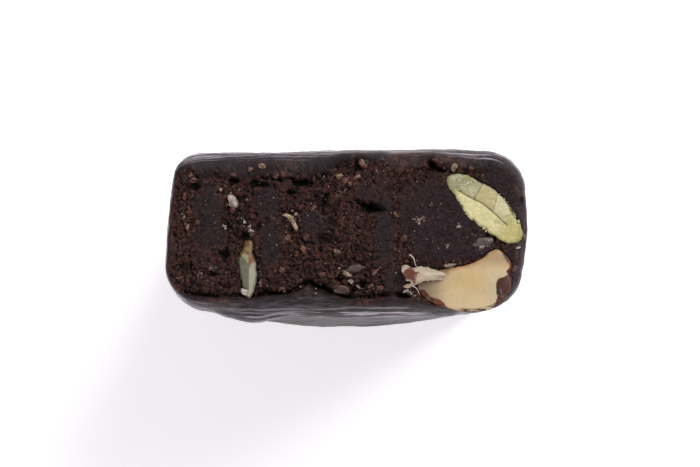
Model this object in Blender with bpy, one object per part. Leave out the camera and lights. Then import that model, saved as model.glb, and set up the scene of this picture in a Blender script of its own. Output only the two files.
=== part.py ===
"""Half of a cocoa, date and nut bar, standing on its uncut end with the knife cut on top.

Metres, +Z up. The origin is the middle of the foot. +X runs along the bar's width and +Y through
its thickness, from the front, where the knife left a flared lip, to the back. The cut face is level
and lies at z = BAR_LENGTH. Every seed and nut piece sits in a pocket of the dough, FIT_GAP clear.
"""

import math

import bmesh
import bpy
import numpy as np
from mathutils import Vector
from mathutils.geometry import delaunay_2d_cdt

MM = 0.001
FIT_GAP = 0.3 * MM

# The bar: x, y and radius of each corner in mm, anticlockwise from the back right, and how far the
# edge that follows the corner bows outwards.
BAR_LENGTH = 45.0 * MM
CUT_CORNERS = (
    (18.30, 8.85, 4.2, 0.15),
    (-17.25, 8.40, 2.7, 0.10),
    (-18.60, -7.40, 4.3, 0.00),
    (17.35, -7.50, 4.2, 0.35),
)
FOOT_CORNERS = (
    (17.60, 8.30, 3.8, 0.20),
    (-17.30, 8.10, 3.0, 0.20),
    (-17.20, -6.30, 5.5, 1.25),
    (17.20, -5.80, 5.0, 0.20),
)
OUTLINE_POINTS = 120
FOOT_ROUNDING = 0.9 * MM
FOOT_RINGS, WALL_RINGS, SHOULDER_RINGS = 3, 9, 6
WALL_GRADING = 0.8

# How far the rolled skin reaches in over the cut, in mm: along x at the back and the front, and
# evenly on the two narrow sides. The drop is how far below the cut the roll starts.
BACK_REACH = (
    (-17.0, 1.2), (-15.5, 2.6), (-4.0, 2.8), (-1.8, 2.3), (-0.4, 1.2), (3.4, 1.3),
    (4.4, 1.9), (7.4, 1.9), (8.7, 1.1), (10.3, 2.0), (14.0, 2.2), (18.0, 1.4),
)
FRONT_REACH = (
    (-17.5, 0.8), (-15.0, 1.3), (-9.0, 1.2), (-5.0, 1.7), (-3.7, 2.4), (-1.6, 1.6),
    (0.0, 1.1), (6.0, 1.3), (8.4, 0.6), (15.0, 0.4), (17.5, 0.8),
)
LEFT_REACH, RIGHT_REACH = 0.45 * MM, 1.2 * MM
BACK_DROP, FRONT_DROP, LEFT_DROP, RIGHT_DROP = 2.4 * MM, 2.4 * MM, 0.7 * MM, 1.3 * MM
CREASE_DEPTH, CREASE_HALF_WIDTH = 0.55 * MM, 0.35 * MM
CREASE_FADES, CREASE_GONE = 3.0 * MM, 8.0 * MM
CREASE_LEAST = 0.35

# The front lip flares out just below the cut, most of all in one lump near the left.
LIP_SWELL = 0.60 * MM
LIP_LEFT, LIP_RIGHT, LIP_EASE = -14.3 * MM, 12.5 * MM, 2.2 * MM
LUMP_SWELL, LUMP_X, LUMP_WIDTH = 0.60 * MM, -9.4 * MM, 2.5 * MM
SWELL_TOP, SWELL_END = 2.6 * MM, 10.0 * MM

# Waves of the skin, and crags of the cut face, which fade over the stretch that the knife smeared.
WALL_WAVE, WAVE_EASE = 0.13 * MM, 3.0 * MM
CRAG_HEIGHT, CRAG_SPACING, CRAG_MARGIN = 0.24 * MM, 0.60 * MM, 0.38 * MM
RIM_CRAGS = 0.5
SMEAR_X, SMEAR_Y, SMEAR_RADIUS, SMEAR_SHARE = 8.0 * MM, 1.0 * MM, 4.5 * MM, 0.75
SEED = 7

# Hollows torn in the cut face, in mm and degrees: x, y, half length, half width, turn, depth.
HOLLOWS = (
    (2.4, 2.8, 1.5, 0.55, -18, 1.1),
    (-2.1, 3.8, 0.8, 0.55, 70, 0.9),
    (-5.6, 4.4, 0.6, 0.50, 0, 0.7),
    (8.8, 7.3, 0.9, 0.60, -60, 0.9),
    (1.1, 7.4, 0.6, 0.45, 90, 0.7),
    (-0.6, -4.1, 0.6, 0.50, 0, 0.8),
    (-16.0, -3.1, 1.0, 0.60, 0, 0.5),
    (-13.4, -3.8, 0.8, 0.50, 0, 0.7),
    (-10.1, 0.1, 0.6, 0.55, 0, 0.9),
    (-8.5, 5.2, 1.1, 0.45, -8, 0.5),
    (-2.6, -5.6, 1.6, 0.55, -20, 0.6),
    (5.2, -4.6, 0.7, 0.60, 0, 0.7),
)

# Small bits fused to the cut face, in mm and degrees: x, y, half length, half width, turn.
BITS = (
    (-11.40, 3.35, 0.72, 0.48, 85),
    (-5.60, 1.55, 0.85, 0.40, -55),
    (-5.90, -0.20, 0.42, 0.36, 60),
    (-4.25, -1.25, 0.45, 0.38, -40),
    (-8.45, 6.95, 0.40, 0.34, 20),
    (-9.60, 6.60, 0.36, 0.30, 20),
    (1.75, 7.20, 0.46, 0.40, 70),
    (0.70, -3.55, 1.00, 0.50, 10),
    (-0.20, -5.40, 0.85, 0.45, -12),
    (13.80, -0.85, 0.95, 0.50, -5),
    (10.85, 6.85, 0.46, 0.36, 60),
    (4.95, 2.10, 0.36, 0.30, -40),
    (7.40, 1.60, 0.42, 0.34, 0),
    (-15.30, 6.20, 0.46, 0.38, 30),
    (-15.95, 4.00, 0.42, 0.36, 80),
)
BIT_HEIGHT, BIT_JITTER = 0.36 * MM, 0.14

# The larger pieces: the bends of the outline that each shows at the cut, in mm, anticlockwise.
SEED_OUTLINE = (
    (9.95, 5.30), (10.95, 3.60), (12.10, 1.65), (14.20, 0.40), (16.00, -0.72), (17.25, -0.60),
    (17.65, 0.35), (16.90, 2.00), (15.60, 4.00), (13.90, 5.20), (12.00, 6.10), (10.60, 6.10),
)
NUT_OUTLINE = (
    (7.10, -5.10), (8.20, -6.50), (9.90, -7.20), (11.80, -7.65), (14.00, -7.50), (15.40, -6.60),
    (15.40, -5.20), (16.40, -3.80), (16.40, -2.60), (14.80, -1.45), (13.40, -2.10),
    (11.90, -3.00), (9.40, -3.70), (8.00, -4.40),
)
SLIVER_OUTLINE = (
    (-9.85, -0.35), (-10.60, -1.40), (-10.85, -2.60), (-10.60, -4.30), (-10.30, -5.80),
    (-9.75, -6.55), (-9.25, -5.70), (-8.95, -4.20), (-9.00, -2.60), (-9.30, -0.90),
)
FLAKE_OUTLINE = (
    (5.50, -3.40), (5.80, -4.50), (6.00, -5.25), (7.40, -4.75), (9.00, -4.50), (10.25, -4.15),
    (9.00, -3.50), (7.60, -3.05), (6.20, -3.00),
)
# How deep each goes into the bar, and the ends of the line that its belly shrinks to, in mm.
SEED_DEPTH, SEED_CORE = 3.2 * MM, ((11.8, 4.4), (15.8, 1.0))
NUT_DEPTH, NUT_CORE = 5.0 * MM, ((9.8, -5.5), (14.2, -4.4))
SLIVER_DEPTH, SLIVER_CORE = 2.4 * MM, ((-9.85, -1.9), (-9.8, -5.0))

# The seed's two halves part along a crack, from end to end in mm, and one lies a step lower.
CRACK_START, CRACK_END = (11.2, 4.5), (16.0, 1.0)
CRACK_DEPTH, CRACK_HALF_WIDTH, SEED_STEP = 0.35 * MM, 0.16 * MM, 0.16 * MM
SEED_PROUD, SEED_GRAIN = 0.12 * MM, 0.04 * MM
# The nut is a little crowned, and the splinter's two facets meet in a ridge just below the cut.
NUT_CROWN, NUT_CROWN_HALF_WIDTH, NUT_SUNK = 0.14 * MM, 1.6 * MM, 0.05 * MM
SLIVER_RIDGE, SLIVER_HALF_WIDTH, SLIVER_SUNK = 0.35 * MM, 0.9 * MM, 0.30 * MM

# The flake lies over the nut's thin end, on a patch where nut and dough are pressed down.
FLAKE_X, FLAKE_Y, FLAKE_HALF_LENGTH, FLAKE_HALF_WIDTH = 7.8 * MM, -4.1 * MM, 2.8 * MM, 1.55 * MM
PRESSED = 0.30 * MM
FLAKE_THICKNESS, FLAKE_LIFT, FLAKE_CURL = 0.32 * MM, 0.05 * MM, 0.10 * MM

NUGGET_POINTS = 40
NUGGET_SPACING, NUGGET_MARGIN = 0.55 * MM, 0.33 * MM
BELLY_RINGS = 5
BELLY_LAST = math.radians(76)
BELLY_ROUNDNESS = 0.8
CUTTER_REACH = 3.0 * MM


def smooth_step(low, high, value):
    share = np.clip((value - low) / (high - low), 0, 1)
    return share * share * (3 - 2 * share)


def corner_arc(before, corner, after, radius, steps=14):
    """Points round one corner of an anticlockwise outline."""
    inward = (corner - before) / np.linalg.norm(corner - before)
    outward = (after - corner) / np.linalg.norm(after - corner)
    turn = math.acos(float(np.clip(inward @ outward, -1, 1)))
    left = np.array((-inward[1], inward[0]))
    centre = corner - inward * radius * math.tan(turn / 2) + left * radius
    start = math.atan2(-left[1], -left[0])
    angles = start + turn * np.linspace(0, 1, steps)
    return centre + radius * np.stack((np.cos(angles), np.sin(angles)), axis=1)


def rounded_outline(corners, count):
    """A closed outline with round corners and bowed edges: count even points and their normals."""
    spots = [np.array(corner[:2]) * MM for corner in corners]
    arcs = [
        corner_arc(spots[i - 1], spots[i], spots[(i + 1) % len(spots)], corners[i][2] * MM)
        for i in range(len(spots))
    ]
    pieces = []
    for i, arc in enumerate(arcs):
        start, end = arc[-1], arcs[(i + 1) % len(arcs)][0]
        share = np.linspace(0, 1, 42)[1:-1, None]
        along = (end - start) / np.linalg.norm(end - start)
        bow = corners[i][3] * MM * 4 * share * (1 - share)
        pieces += [arc, start + (end - start) * share + bow * np.array((along[1], -along[0]))]
    line = np.concatenate(pieces + [pieces[0][:1]])
    length = np.concatenate(((0,), np.cumsum(np.linalg.norm(np.diff(line, axis=0), axis=1))))
    at = np.linspace(0, length[-1], count, endpoint=False)
    points = np.stack([np.interp(at, length, line[:, axis]) for axis in (0, 1)], axis=1)
    tangent = np.roll(points, -1, axis=0) - np.roll(points, 1, axis=0)
    tangent /= np.linalg.norm(tangent, axis=1)[:, None]
    return points, np.stack((tangent[:, 1], -tangent[:, 0]), axis=1)


def side_shares(normals):
    """How much of each side there is at each outline point: back, front, right, left."""
    x, y = normals[:, 0], normals[:, 1]
    return [np.maximum(side, 0) ** 2 for side in (y, -y, x, -x)]


def lip_swell(x, normals, depth):
    """How far the front lip stands out, at this depth below the cut."""
    along = smooth_step(LIP_LEFT, LIP_LEFT + LIP_EASE, x)
    along *= 1 - smooth_step(LIP_RIGHT - LIP_EASE, LIP_RIGHT, x)
    lump = LUMP_SWELL * np.exp(-(((x - LUMP_X) / LUMP_WIDTH) ** 2))
    fade = smooth_step(0, SWELL_TOP, depth) * (1 - smooth_step(SWELL_TOP, SWELL_END, depth))
    return side_shares(normals)[1] * (LIP_SWELL * along + lump) * fade


def skin_wave(x, y, z):
    """Long, low waves of the side walls."""
    wave = np.sin(x * 330 + z * 150 + 1.0) * np.sin(z * 260 + y * 90 + 0.6)
    return WALL_WAVE * (wave + 0.6 * np.sin(x * 610 - z * 420 + y * 300 + 2.0))


def along_x(x, table):
    """A value that runs along x through the pairs of a table, all in mm."""
    places, values = np.array(table).T
    return np.interp(x / MM, places, values) * MM


def shoulder(points, normals):
    """The reach and drop of the rolled edge at each outline point."""
    back, front, right, left = side_shares(normals)
    x = points[:, 0]
    reach = along_x(x, BACK_REACH) * back + along_x(x, FRONT_REACH) * front
    reach += RIGHT_REACH * right + LEFT_REACH * left
    drop = BACK_DROP * back + FRONT_DROP * front + RIGHT_DROP * right + LEFT_DROP * left
    ragged = 1 + 0.07 * np.sin(x * 1500 + 0.5) + 0.05 * np.sin(x * 3100)
    return reach * ragged, drop


def crease(points, normals):
    """The depth of the fold between the rolled edge and the cut face, on the two long sides."""
    back, front, _, _ = side_shares(normals)
    kept = 1 - smooth_step(CREASE_FADES, CREASE_GONE, points[:, 0])
    return CREASE_DEPTH * (back * (CREASE_LEAST + (1 - CREASE_LEAST) * kept) + front * kept)


def pressed_share(x, y):
    """1 under the flake, easing to 0 around it."""
    away = np.hypot((x - FLAKE_X) / FLAKE_HALF_LENGTH, (y - FLAKE_Y) / FLAKE_HALF_WIDTH)
    return 1 - smooth_step(1.0, 1.35, away)


def hollow_depth(x, y):
    """How deep the torn hollows go at x, y."""
    deep = np.zeros(np.shape(x))
    for row in HOLLOWS:
        centre_x, centre_y, half_length, half_width = [value * MM for value in row[:4]]
        turn = math.radians(row[4])
        along = (x - centre_x) * math.cos(turn) + (y - centre_y) * math.sin(turn)
        across = (y - centre_y) * math.cos(turn) - (x - centre_x) * math.sin(turn)
        away = (along / half_length) ** 2 + (across / half_width) ** 2
        deep = deep + row[5] * MM * np.exp(-(away**1.5))
    return deep


def cut_relief(x, y):
    """The height of the cut face over its level plane: crags, hollows and a smeared stretch."""
    crags = np.sin(x * 2900 + 1.7 * np.sin(y * 1900)) * np.sin(y * 3300 + 1.3 * np.sin(x * 2300))
    crags += 0.6 * np.sin(x * 4700 - y * 1500 + 2.0) * np.sin(y * 5200 + x * 900)
    away = np.hypot(x - SMEAR_X, y - SMEAR_Y) / SMEAR_RADIUS
    height = CRAG_HEIGHT * crags * (1 - SMEAR_SHARE * np.exp(-(away**4)))
    pressed = pressed_share(x, y)
    return (height - hollow_depth(x, y)) * (1 - pressed) - PRESSED * pressed


def bar_rings():
    """The rings of the bar's surface from the foot up to the cut face's rim, as x, y, z arrays."""
    foot, foot_normals = rounded_outline(FOOT_CORNERS, OUTLINE_POINTS)
    cut, cut_normals = rounded_outline(CUT_CORNERS, OUTLINE_POINTS)
    reach, drop = shoulder(cut, cut_normals)

    def ring(z, inset):
        share = np.clip(z / BAR_LENGTH, 0, 1)[:, None]
        flat = foot * (1 - share) + cut * share
        normals = foot_normals * (1 - share) + cut_normals * share
        out = lip_swell(flat[:, 0], normals, BAR_LENGTH - z)
        fade = smooth_step(0, WAVE_EASE, z) * smooth_step(0, WAVE_EASE, BAR_LENGTH - z)
        out = out + skin_wave(flat[:, 0], flat[:, 1], z) * fade - inset
        return np.column_stack((flat + normals * out[:, None], z))

    everywhere = np.ones(OUTLINE_POINTS)
    rings = []
    for step in range(FOOT_RINGS):
        angle = math.pi / 2 * step / FOOT_RINGS
        inset = FOOT_ROUNDING * (1 - math.sin(angle))
        rings.append(ring(everywhere * FOOT_ROUNDING * (1 - math.cos(angle)), inset))
    for step in range(WALL_RINGS):
        share = (step / WALL_RINGS) ** WALL_GRADING
        rings.append(ring(FOOT_ROUNDING + share * (BAR_LENGTH - drop - FOOT_ROUNDING), 0))
    for step in range(SHOULDER_RINGS + 1):
        angle = math.pi / 2 * step / SHOULDER_RINGS
        z = BAR_LENGTH - drop * (1 - math.sin(angle))
        rings.append(ring(z, reach * (1 - math.cos(angle))))
    fold = ring(everywhere * BAR_LENGTH, reach + CREASE_HALF_WIDTH)
    fold[:, 2] -= crease(cut, cut_normals)
    rim = ring(everywhere * BAR_LENGTH, reach + 2 * CREASE_HALF_WIDTH)
    rim[:, 2] += cut_relief(rim[:, 0], rim[:, 1]) * RIM_CRAGS
    return rings + [fold, rim]


def inside(points, loop):
    """Which points lie inside a closed loop, by counting the edges that a ray crosses."""
    x, y = points[:, :1], points[:, 1:]
    start, end = loop, np.roll(loop, -1, axis=0)
    spans = (start[:, 1] > y) != (end[:, 1] > y)
    rise = np.where(end[:, 1] == start[:, 1], 1, end[:, 1] - start[:, 1])
    crossing = start[:, 0] + (y - start[:, 1]) * (end[:, 0] - start[:, 0]) / rise
    return (spans & (x < crossing)).sum(axis=1) % 2 == 1


def grid_inside(loop, spacing, margin):
    """A staggered, slightly jittered grid of points inside a loop, a margin away from it."""
    draw = np.random.default_rng(SEED)
    low, high = loop.min(axis=0), loop.max(axis=0)
    points = []
    for index, y in enumerate(np.arange(low[1], high[1], spacing * math.sqrt(3) / 2)):
        shift = spacing / 2 * (index % 2)
        points += [(x + shift, y) for x in np.arange(low[0], high[0], spacing)]
    points = np.array(points)
    points += draw.uniform(-0.16, 0.16, points.shape) * spacing
    near = np.linalg.norm(points[:, None] - loop[None], axis=2).min(axis=1)
    return points[inside(points, loop) & (near > margin)]


def cap_triangles(loop, middle, first_loop, first_middle):
    """Triangles that fill a loop through its inner points, numbered from the two starts given."""
    flat = [Vector(map(float, spot)) for spot in np.concatenate((loop, middle))]
    edge = list(range(len(loop)))
    _, _, triangles, came_from, _, _ = delaunay_2d_cdt(flat, [], [edge], 1, 1e-7)
    number = []
    for sources in came_from:
        index = sources[0]
        number.append(first_loop + index if index < len(loop)
                      else first_middle + index - len(loop))
    return [[number[corner] for corner in triangle] for triangle in triangles]


def bridge(first_low, first_high, count):
    """The quads between two rings of count points each."""
    return [
        (first_low + i, first_low + (i + 1) % count, first_high + (i + 1) % count, first_high + i)
        for i in range(count)
    ]


def mesh_object(name, points, faces, material):
    mesh = bpy.data.meshes.new(name)
    mesh.from_pydata([tuple(map(float, point)) for point in points], [], faces)
    made = bmesh.new()
    made.from_mesh(mesh)
    bmesh.ops.recalc_face_normals(made, faces=made.faces)
    made.to_mesh(mesh)
    made.free()
    mesh.materials.append(material)
    mesh.shade_smooth()
    mesh.set_sharp_from_angle(angle=math.radians(50))
    placed = bpy.data.objects.new(name, mesh)
    bpy.context.scene.collection.objects.link(placed)
    return placed


def plain_material(name, colour, roughness):
    material = bpy.data.materials.new(name)
    material.use_nodes = True
    shader = material.node_tree.nodes["Principled BSDF"]
    shader.inputs["Base Color"].default_value = (*colour, 1)
    shader.inputs["Roughness"].default_value = roughness
    shader.inputs["Metallic"].default_value = 0
    return material


def dough(material):
    """The bar itself, one closed body from the flat foot to the craggy cut."""
    rings = bar_rings()
    count = OUTLINE_POINTS
    faces = [list(range(count - 1, -1, -1))]
    for level in range(len(rings) - 1):
        faces += bridge(level * count, (level + 1) * count, count)
    rim = rings[-1][:, :2]
    middle = grid_inside(rim, CRAG_SPACING, CRAG_MARGIN)
    faces += cap_triangles(rim, middle, (len(rings) - 1) * count, len(rings) * count)
    heights = BAR_LENGTH + cut_relief(middle[:, 0], middle[:, 1])
    points = np.concatenate(rings + [np.column_stack((middle, heights))])
    return mesh_object("bar_dough", points, faces, material)


def fuse_bits(body, material):
    """Crumbs and nut bits that show on the cut face, joined to the dough by one union."""
    draw = np.random.default_rng(SEED)
    group = bpy.data.collections.new("bits")
    bpy.context.scene.collection.children.link(group)
    for index, (x, y, half_length, half_width, turn) in enumerate(BITS):
        mesh = bpy.data.meshes.new(f"bit_{index}")
        made = bmesh.new()
        bmesh.ops.create_icosphere(made, subdivisions=2, radius=1)
        for vertex in made.verts:
            vertex.co *= 1 + float(draw.uniform(-BIT_JITTER, BIT_JITTER))
        made.to_mesh(mesh)
        made.free()
        mesh.materials.append(material)
        bit = bpy.data.objects.new(f"bit_{index}", mesh)
        level = float(cut_relief(np.array(x * MM), np.array(y * MM)))
        bit.location = (x * MM, y * MM, BAR_LENGTH + level)
        bit.rotation_euler = (0, 0, math.radians(turn))
        bit.scale = (half_length * MM, half_width * MM, BIT_HEIGHT)
        group.objects.link(bit)
    union = body.modifiers.new("bits", "BOOLEAN")
    union.operation = "UNION"
    union.operand_type = "COLLECTION"
    union.collection = group
    apply_modifiers(body)
    for bit in list(group.objects):
        bpy.data.objects.remove(bit)
    bpy.data.collections.remove(group)


def apply_modifiers(body):
    bpy.context.view_layer.update()
    graph = bpy.context.evaluated_depsgraph_get()
    mesh = bpy.data.meshes.new_from_object(body.evaluated_get(graph))
    body.modifiers.clear()
    body.data = mesh


def closed_curve(outline, count):
    """A smooth closed curve through an outline in mm: count even points and their normals."""
    knots = np.array(outline) * MM
    before, after, later = (np.roll(knots, shift, axis=0) for shift in (1, -1, -2))
    t = np.linspace(0, 1, 12, endpoint=False)[:, None, None]
    line = 0.5 * (2 * knots + (after - before) * t
                  + (2 * before - 5 * knots + 4 * after - later) * t**2
                  + (3 * knots - before - 3 * after + later) * t**3)
    line = line.transpose(1, 0, 2).reshape(-1, 2)
    line = np.concatenate((line, line[:1]))
    length = np.concatenate(((0,), np.cumsum(np.linalg.norm(np.diff(line, axis=0), axis=1))))
    at = np.linspace(0, length[-1], count, endpoint=False)
    points = np.stack([np.interp(at, length, line[:, axis]) for axis in (0, 1)], axis=1)
    tangent = np.roll(points, -1, axis=0) - np.roll(points, 1, axis=0)
    tangent /= np.linalg.norm(tangent, axis=1)[:, None]
    return points, np.stack((tangent[:, 1], -tangent[:, 0]), axis=1)


def nearest_on(core, points):
    """The spot of the core line nearest each point."""
    start, end = np.array(core) * MM
    along = end - start
    share = np.clip((points - start) @ along / (along @ along), 0, 1)
    return start + share[:, None] * along


def nugget(name, outline, core, depth, top, material, grow=0.0):
    """A piece with its traced outline at the cut, a shaped top and a belly that goes into the bar.

    A cutter is the same piece grown by the fit gap, with a flat lid above the cut for its top.
    """
    count = NUGGET_POINTS
    loop, normals = closed_curve(outline, count)
    loop = loop + normals * grow
    core_spots = nearest_on(core, loop)
    rings = []
    for angle in np.linspace(BELLY_LAST, 0, BELLY_RINGS, endpoint=False):
        flat = core_spots + (loop - core_spots) * math.cos(angle)
        z = BAR_LENGTH - (depth + grow) * math.sin(angle) ** BELLY_ROUNDNESS
        rings.append(np.column_stack((flat, np.full(count, z))))
    faces = [list(range(count - 1, -1, -1))]
    if grow:
        rings.append(np.column_stack((loop, np.full(count, BAR_LENGTH + CUTTER_REACH))))
        last = len(rings) * count
        faces.append(list(range(last - count, last)))
        points = np.concatenate(rings)
    else:
        rings.append(np.column_stack((loop, top(loop[:, 0], loop[:, 1]))))
        middle = grid_inside(loop, NUGGET_SPACING, NUGGET_MARGIN)
        faces += cap_triangles(loop, middle, (len(rings) - 1) * count, len(rings) * count)
        heights = top(middle[:, 0], middle[:, 1])
        points = np.concatenate(rings + [np.column_stack((middle, heights))])
    for level in range(len(rings) - 1):
        faces += bridge(level * count, (level + 1) * count, count)
    return mesh_object(name, points, faces, material)


def line_place(x, y, start, end):
    """Where x, y lie beside a line in mm: the share along it, and the distance to its left."""
    start, end = np.array(start) * MM, np.array(end) * MM
    length = np.linalg.norm(end - start)
    along_x_part, along_y_part = (end - start) / length
    along = (x - start[0]) * along_x_part + (y - start[1]) * along_y_part
    left = (y - start[1]) * along_x_part - (x - start[0]) * along_y_part
    return along / length, left


def seed_top(x, y):
    """Two seed leaves with a crack between them, the upper one broken off a step lower."""
    share, left = line_place(x, y, CRACK_START, CRACK_END)
    within = smooth_step(-0.15, 0.05, share) * (1 - smooth_step(0.95, 1.15, share))
    step = SEED_STEP * smooth_step(-CRACK_HALF_WIDTH, CRACK_HALF_WIDTH, left) * within
    crack = CRACK_DEPTH * np.exp(-((left / CRACK_HALF_WIDTH) ** 2)) * within
    grain = SEED_GRAIN * np.sin(x * 5200) * np.sin(y * 6100)
    return BAR_LENGTH + SEED_PROUD - step - crack + grain


def nut_top(x, y):
    """A smooth cut, a little crowned along its middle and pressed down under the flake."""
    _, left = line_place(x, y, *NUT_CORE)
    crown = NUT_CROWN * np.exp(-((left / NUT_CROWN_HALF_WIDTH) ** 2))
    pressed = pressed_share(x, y)
    return BAR_LENGTH + (crown - NUT_SUNK) * (1 - pressed) - PRESSED * pressed


def sliver_top(x, y):
    """Two facets that meet in a ridge along the splinter, a little below the cut."""
    _, left = line_place(x, y, *SLIVER_CORE)
    slope = np.minimum(abs(left) / SLIVER_HALF_WIDTH, 1)
    return BAR_LENGTH - SLIVER_SUNK + SLIVER_RIDGE * (1 - slope)


def flake(material):
    """A thin, wavy shard, both faces split into triangles alike."""
    loop, _ = closed_curve(FLAKE_OUTLINE, NUGGET_POINTS)
    middle = grid_inside(loop, NUGGET_SPACING, NUGGET_MARGIN)
    flat = np.concatenate((loop, middle))
    share, left = line_place(flat[:, 0], flat[:, 1], FLAKE_OUTLINE[1], FLAKE_OUTLINE[5])
    curl = FLAKE_CURL * ((left / MM) ** 2 + 1 + np.sin(share * 6 + left / MM))
    low = BAR_LENGTH + FLAKE_LIFT + curl
    points = np.concatenate((np.column_stack((flat, low)),
                             np.column_stack((flat, low + FLAKE_THICKNESS))))
    above = len(flat)
    faces = cap_triangles(loop, middle, above, above + len(loop))
    faces += [triangle[::-1] for triangle in cap_triangles(loop, middle, 0, len(loop))]
    faces += bridge(0, above, len(loop))
    return mesh_object("nut_flake", points, faces, material)


def nugget_in_pocket(body, name, outline, core, depth, top, material):
    """One seed or nut piece, and the pocket that it sits in, cut from the dough."""
    nugget(name, outline, core, depth, top, material)
    cutter = nugget(f"{name}_pocket", outline, core, depth, top, material, grow=FIT_GAP)
    cut = body.modifiers.new(name, "BOOLEAN")
    cut.operation = "DIFFERENCE"
    cut.object = cutter
    apply_modifiers(body)
    bpy.data.objects.remove(cutter)


def main():
    for leftover in list(bpy.data.objects):
        bpy.data.objects.remove(leftover)
    dough_brown = plain_material("dough", (0.030, 0.018, 0.016), 0.5)
    seed_green = plain_material("seed", (0.56, 0.58, 0.27), 0.5)
    nut_cream = plain_material("nut", (0.66, 0.52, 0.29), 0.45)
    sliver_green = plain_material("sliver", (0.30, 0.31, 0.22), 0.4)
    flake_white = plain_material("flake", (0.66, 0.55, 0.47), 0.6)

    body = dough(dough_brown)
    fuse_bits(body, dough_brown)
    nugget_in_pocket(body, "pumpkin_seed", SEED_OUTLINE, SEED_CORE, SEED_DEPTH,
                     seed_top, seed_green)
    nugget_in_pocket(body, "nut", NUT_OUTLINE, NUT_CORE, NUT_DEPTH, nut_top, nut_cream)
    nugget_in_pocket(body, "seed_sliver", SLIVER_OUTLINE, SLIVER_CORE, SLIVER_DEPTH,
                     sliver_top, sliver_green)
    flake(flake_white)


main()
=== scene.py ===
"""The looks of the cut half bar: pressed cocoa and date dough, its crumbs, seeds and nuts, and the studio.

Metres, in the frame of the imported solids: +Z up, the bar stands on its foot at z = 0 and its cut face
is level at z = CUT. Tables of places and sizes are in mm and are scaled by MM where they are used.
"""

import itertools
import math

import bmesh
import bpy
import numpy as np
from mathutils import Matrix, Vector
from mathutils.geometry import delaunay_2d_cdt
from mathutils.kdtree import KDTree


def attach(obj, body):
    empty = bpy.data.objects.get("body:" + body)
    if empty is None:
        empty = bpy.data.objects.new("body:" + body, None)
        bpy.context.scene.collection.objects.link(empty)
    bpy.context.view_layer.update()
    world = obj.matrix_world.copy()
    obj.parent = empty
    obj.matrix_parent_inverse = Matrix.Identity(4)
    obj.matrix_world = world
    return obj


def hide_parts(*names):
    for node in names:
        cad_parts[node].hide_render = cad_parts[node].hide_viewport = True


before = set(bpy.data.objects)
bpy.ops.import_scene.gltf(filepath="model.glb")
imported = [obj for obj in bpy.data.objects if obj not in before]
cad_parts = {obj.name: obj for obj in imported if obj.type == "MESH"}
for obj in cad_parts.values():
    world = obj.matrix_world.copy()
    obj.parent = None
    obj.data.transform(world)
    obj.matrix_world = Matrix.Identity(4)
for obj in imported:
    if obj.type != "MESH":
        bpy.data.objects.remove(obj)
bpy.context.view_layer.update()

MM = 0.001
CUT = 45.0 * MM

# The height of the cut in mm.
LEVEL = CUT / MM

# The bar's outline at the cut and at the foot: x, y and radius of each corner, anticlockwise from the
# back right, and how far the edge that follows the corner bows outwards.
CUT_CORNERS = (
    (18.30, 8.85, 4.2, 0.15),
    (-17.25, 8.40, 2.7, 0.10),
    (-18.60, -7.40, 4.3, 0.00),
    (17.35, -7.50, 4.2, 0.35),
)
FOOT_CORNERS = (
    (17.60, 8.30, 3.8, 0.20),
    (-17.30, 8.10, 3.0, 0.20),
    (-17.20, -6.30, 5.5, 1.25),
    (17.20, -5.80, 5.0, 0.20),
)

# How many points go round the bar and round a seed or nut, and how far apart they lie on the cut.
AROUND, NUGGET_AROUND = 460, 560
CAP_SPACING, TOP_SPACING, FLAKE_SPACING = 0.105, 0.075, 0.08
FOOT_ROUNDING = 0.9

# How many rings go up the foot's edge, the lower wall, the upper wall and the roll; and where up the
# wall they get closer.
FOOT_RINGS, LOWER_RINGS, UPPER_RINGS, ROLL_RINGS = 4, 36, 30, 18
UPPER_FROM = 0.78

# The rings of a seed's or nut's belly, and the angle down its side at which they start.
BELLY_RINGS, BELLY_START = 9, math.radians(76)

# How much of a drop down the wall counts in the spacing of the skin's streaks.
DROP_SEEN = 0.12

# The rolled skin's reach over the cut along x, and how far below the cut each side's roll starts.
BACK_REACH = (
    (-17.4, 1.7), (-16.4, 2.5), (-4.0, 2.7), (-1.8, 2.3), (-0.4, 1.2), (3.4, 1.3),
    (4.4, 1.9), (7.4, 1.9), (8.7, 1.1), (10.3, 2.0), (14.0, 2.2), (18.0, 1.4),
)
FRONT_REACH = (
    (-17.5, 0.8), (-15.0, 1.3), (-9.0, 1.2), (-5.0, 1.7), (-3.7, 2.4), (-1.6, 1.6),
    (0.0, 1.1), (6.0, 1.3), (8.4, 0.6), (15.0, 0.4), (17.5, 0.8),
)
LEFT_REACH, RIGHT_REACH = 0.45, 1.2
BACK_DROP, FRONT_DROP, LEFT_DROP, RIGHT_DROP = 2.4, 2.4, 0.7, 1.3

# How much painted highlight of pale gloss the lip has along x, at the back and at the front, and at the
# narrow sides.
BACK_PAINTED_GLOSS = (
    (-17.0, 1.15), (-12.0, 0.95), (-3.0, 1.1), (2.0, 0.9), (9.0, 1.0), (13.0, 1.3), (15.0, 1.9),
    (18.0, 2.6),
)
FRONT_PAINTED_GLOSS = (
    (-18.0, 1.9), (-14.0, 1.25), (-11.0, 0.9), (-4.0, 0.85), (-1.5, 1.1), (6.0, 1.05), (9.0, 0.65),
    (17.0, 0.9),
)
LEFT_PAINTED_GLOSS, RIGHT_PAINTED_GLOSS = 0.65, 0.55

# How plain the front lip's blue-grey dashes of painted highlight are along x.
FRONT_PAINTED_DASHES = ((-3.5, 1.0), (-1.0, 0.35), (5.5, 0.35), (8.0, 1.0))

# The fold between the roll and the cut: its depth, place and width, and where along x it fades.
CREASE_DEPTH, CREASE_PLACE, CREASE_WIDTH = 0.50, 0.26, 0.28
CREASE_FADES, CREASE_GONE, CREASE_LEAST = 3.0, 8.0, 0.35

# The back edge's place at the middle of the cut.
BACK_EDGE = 8.65

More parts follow.
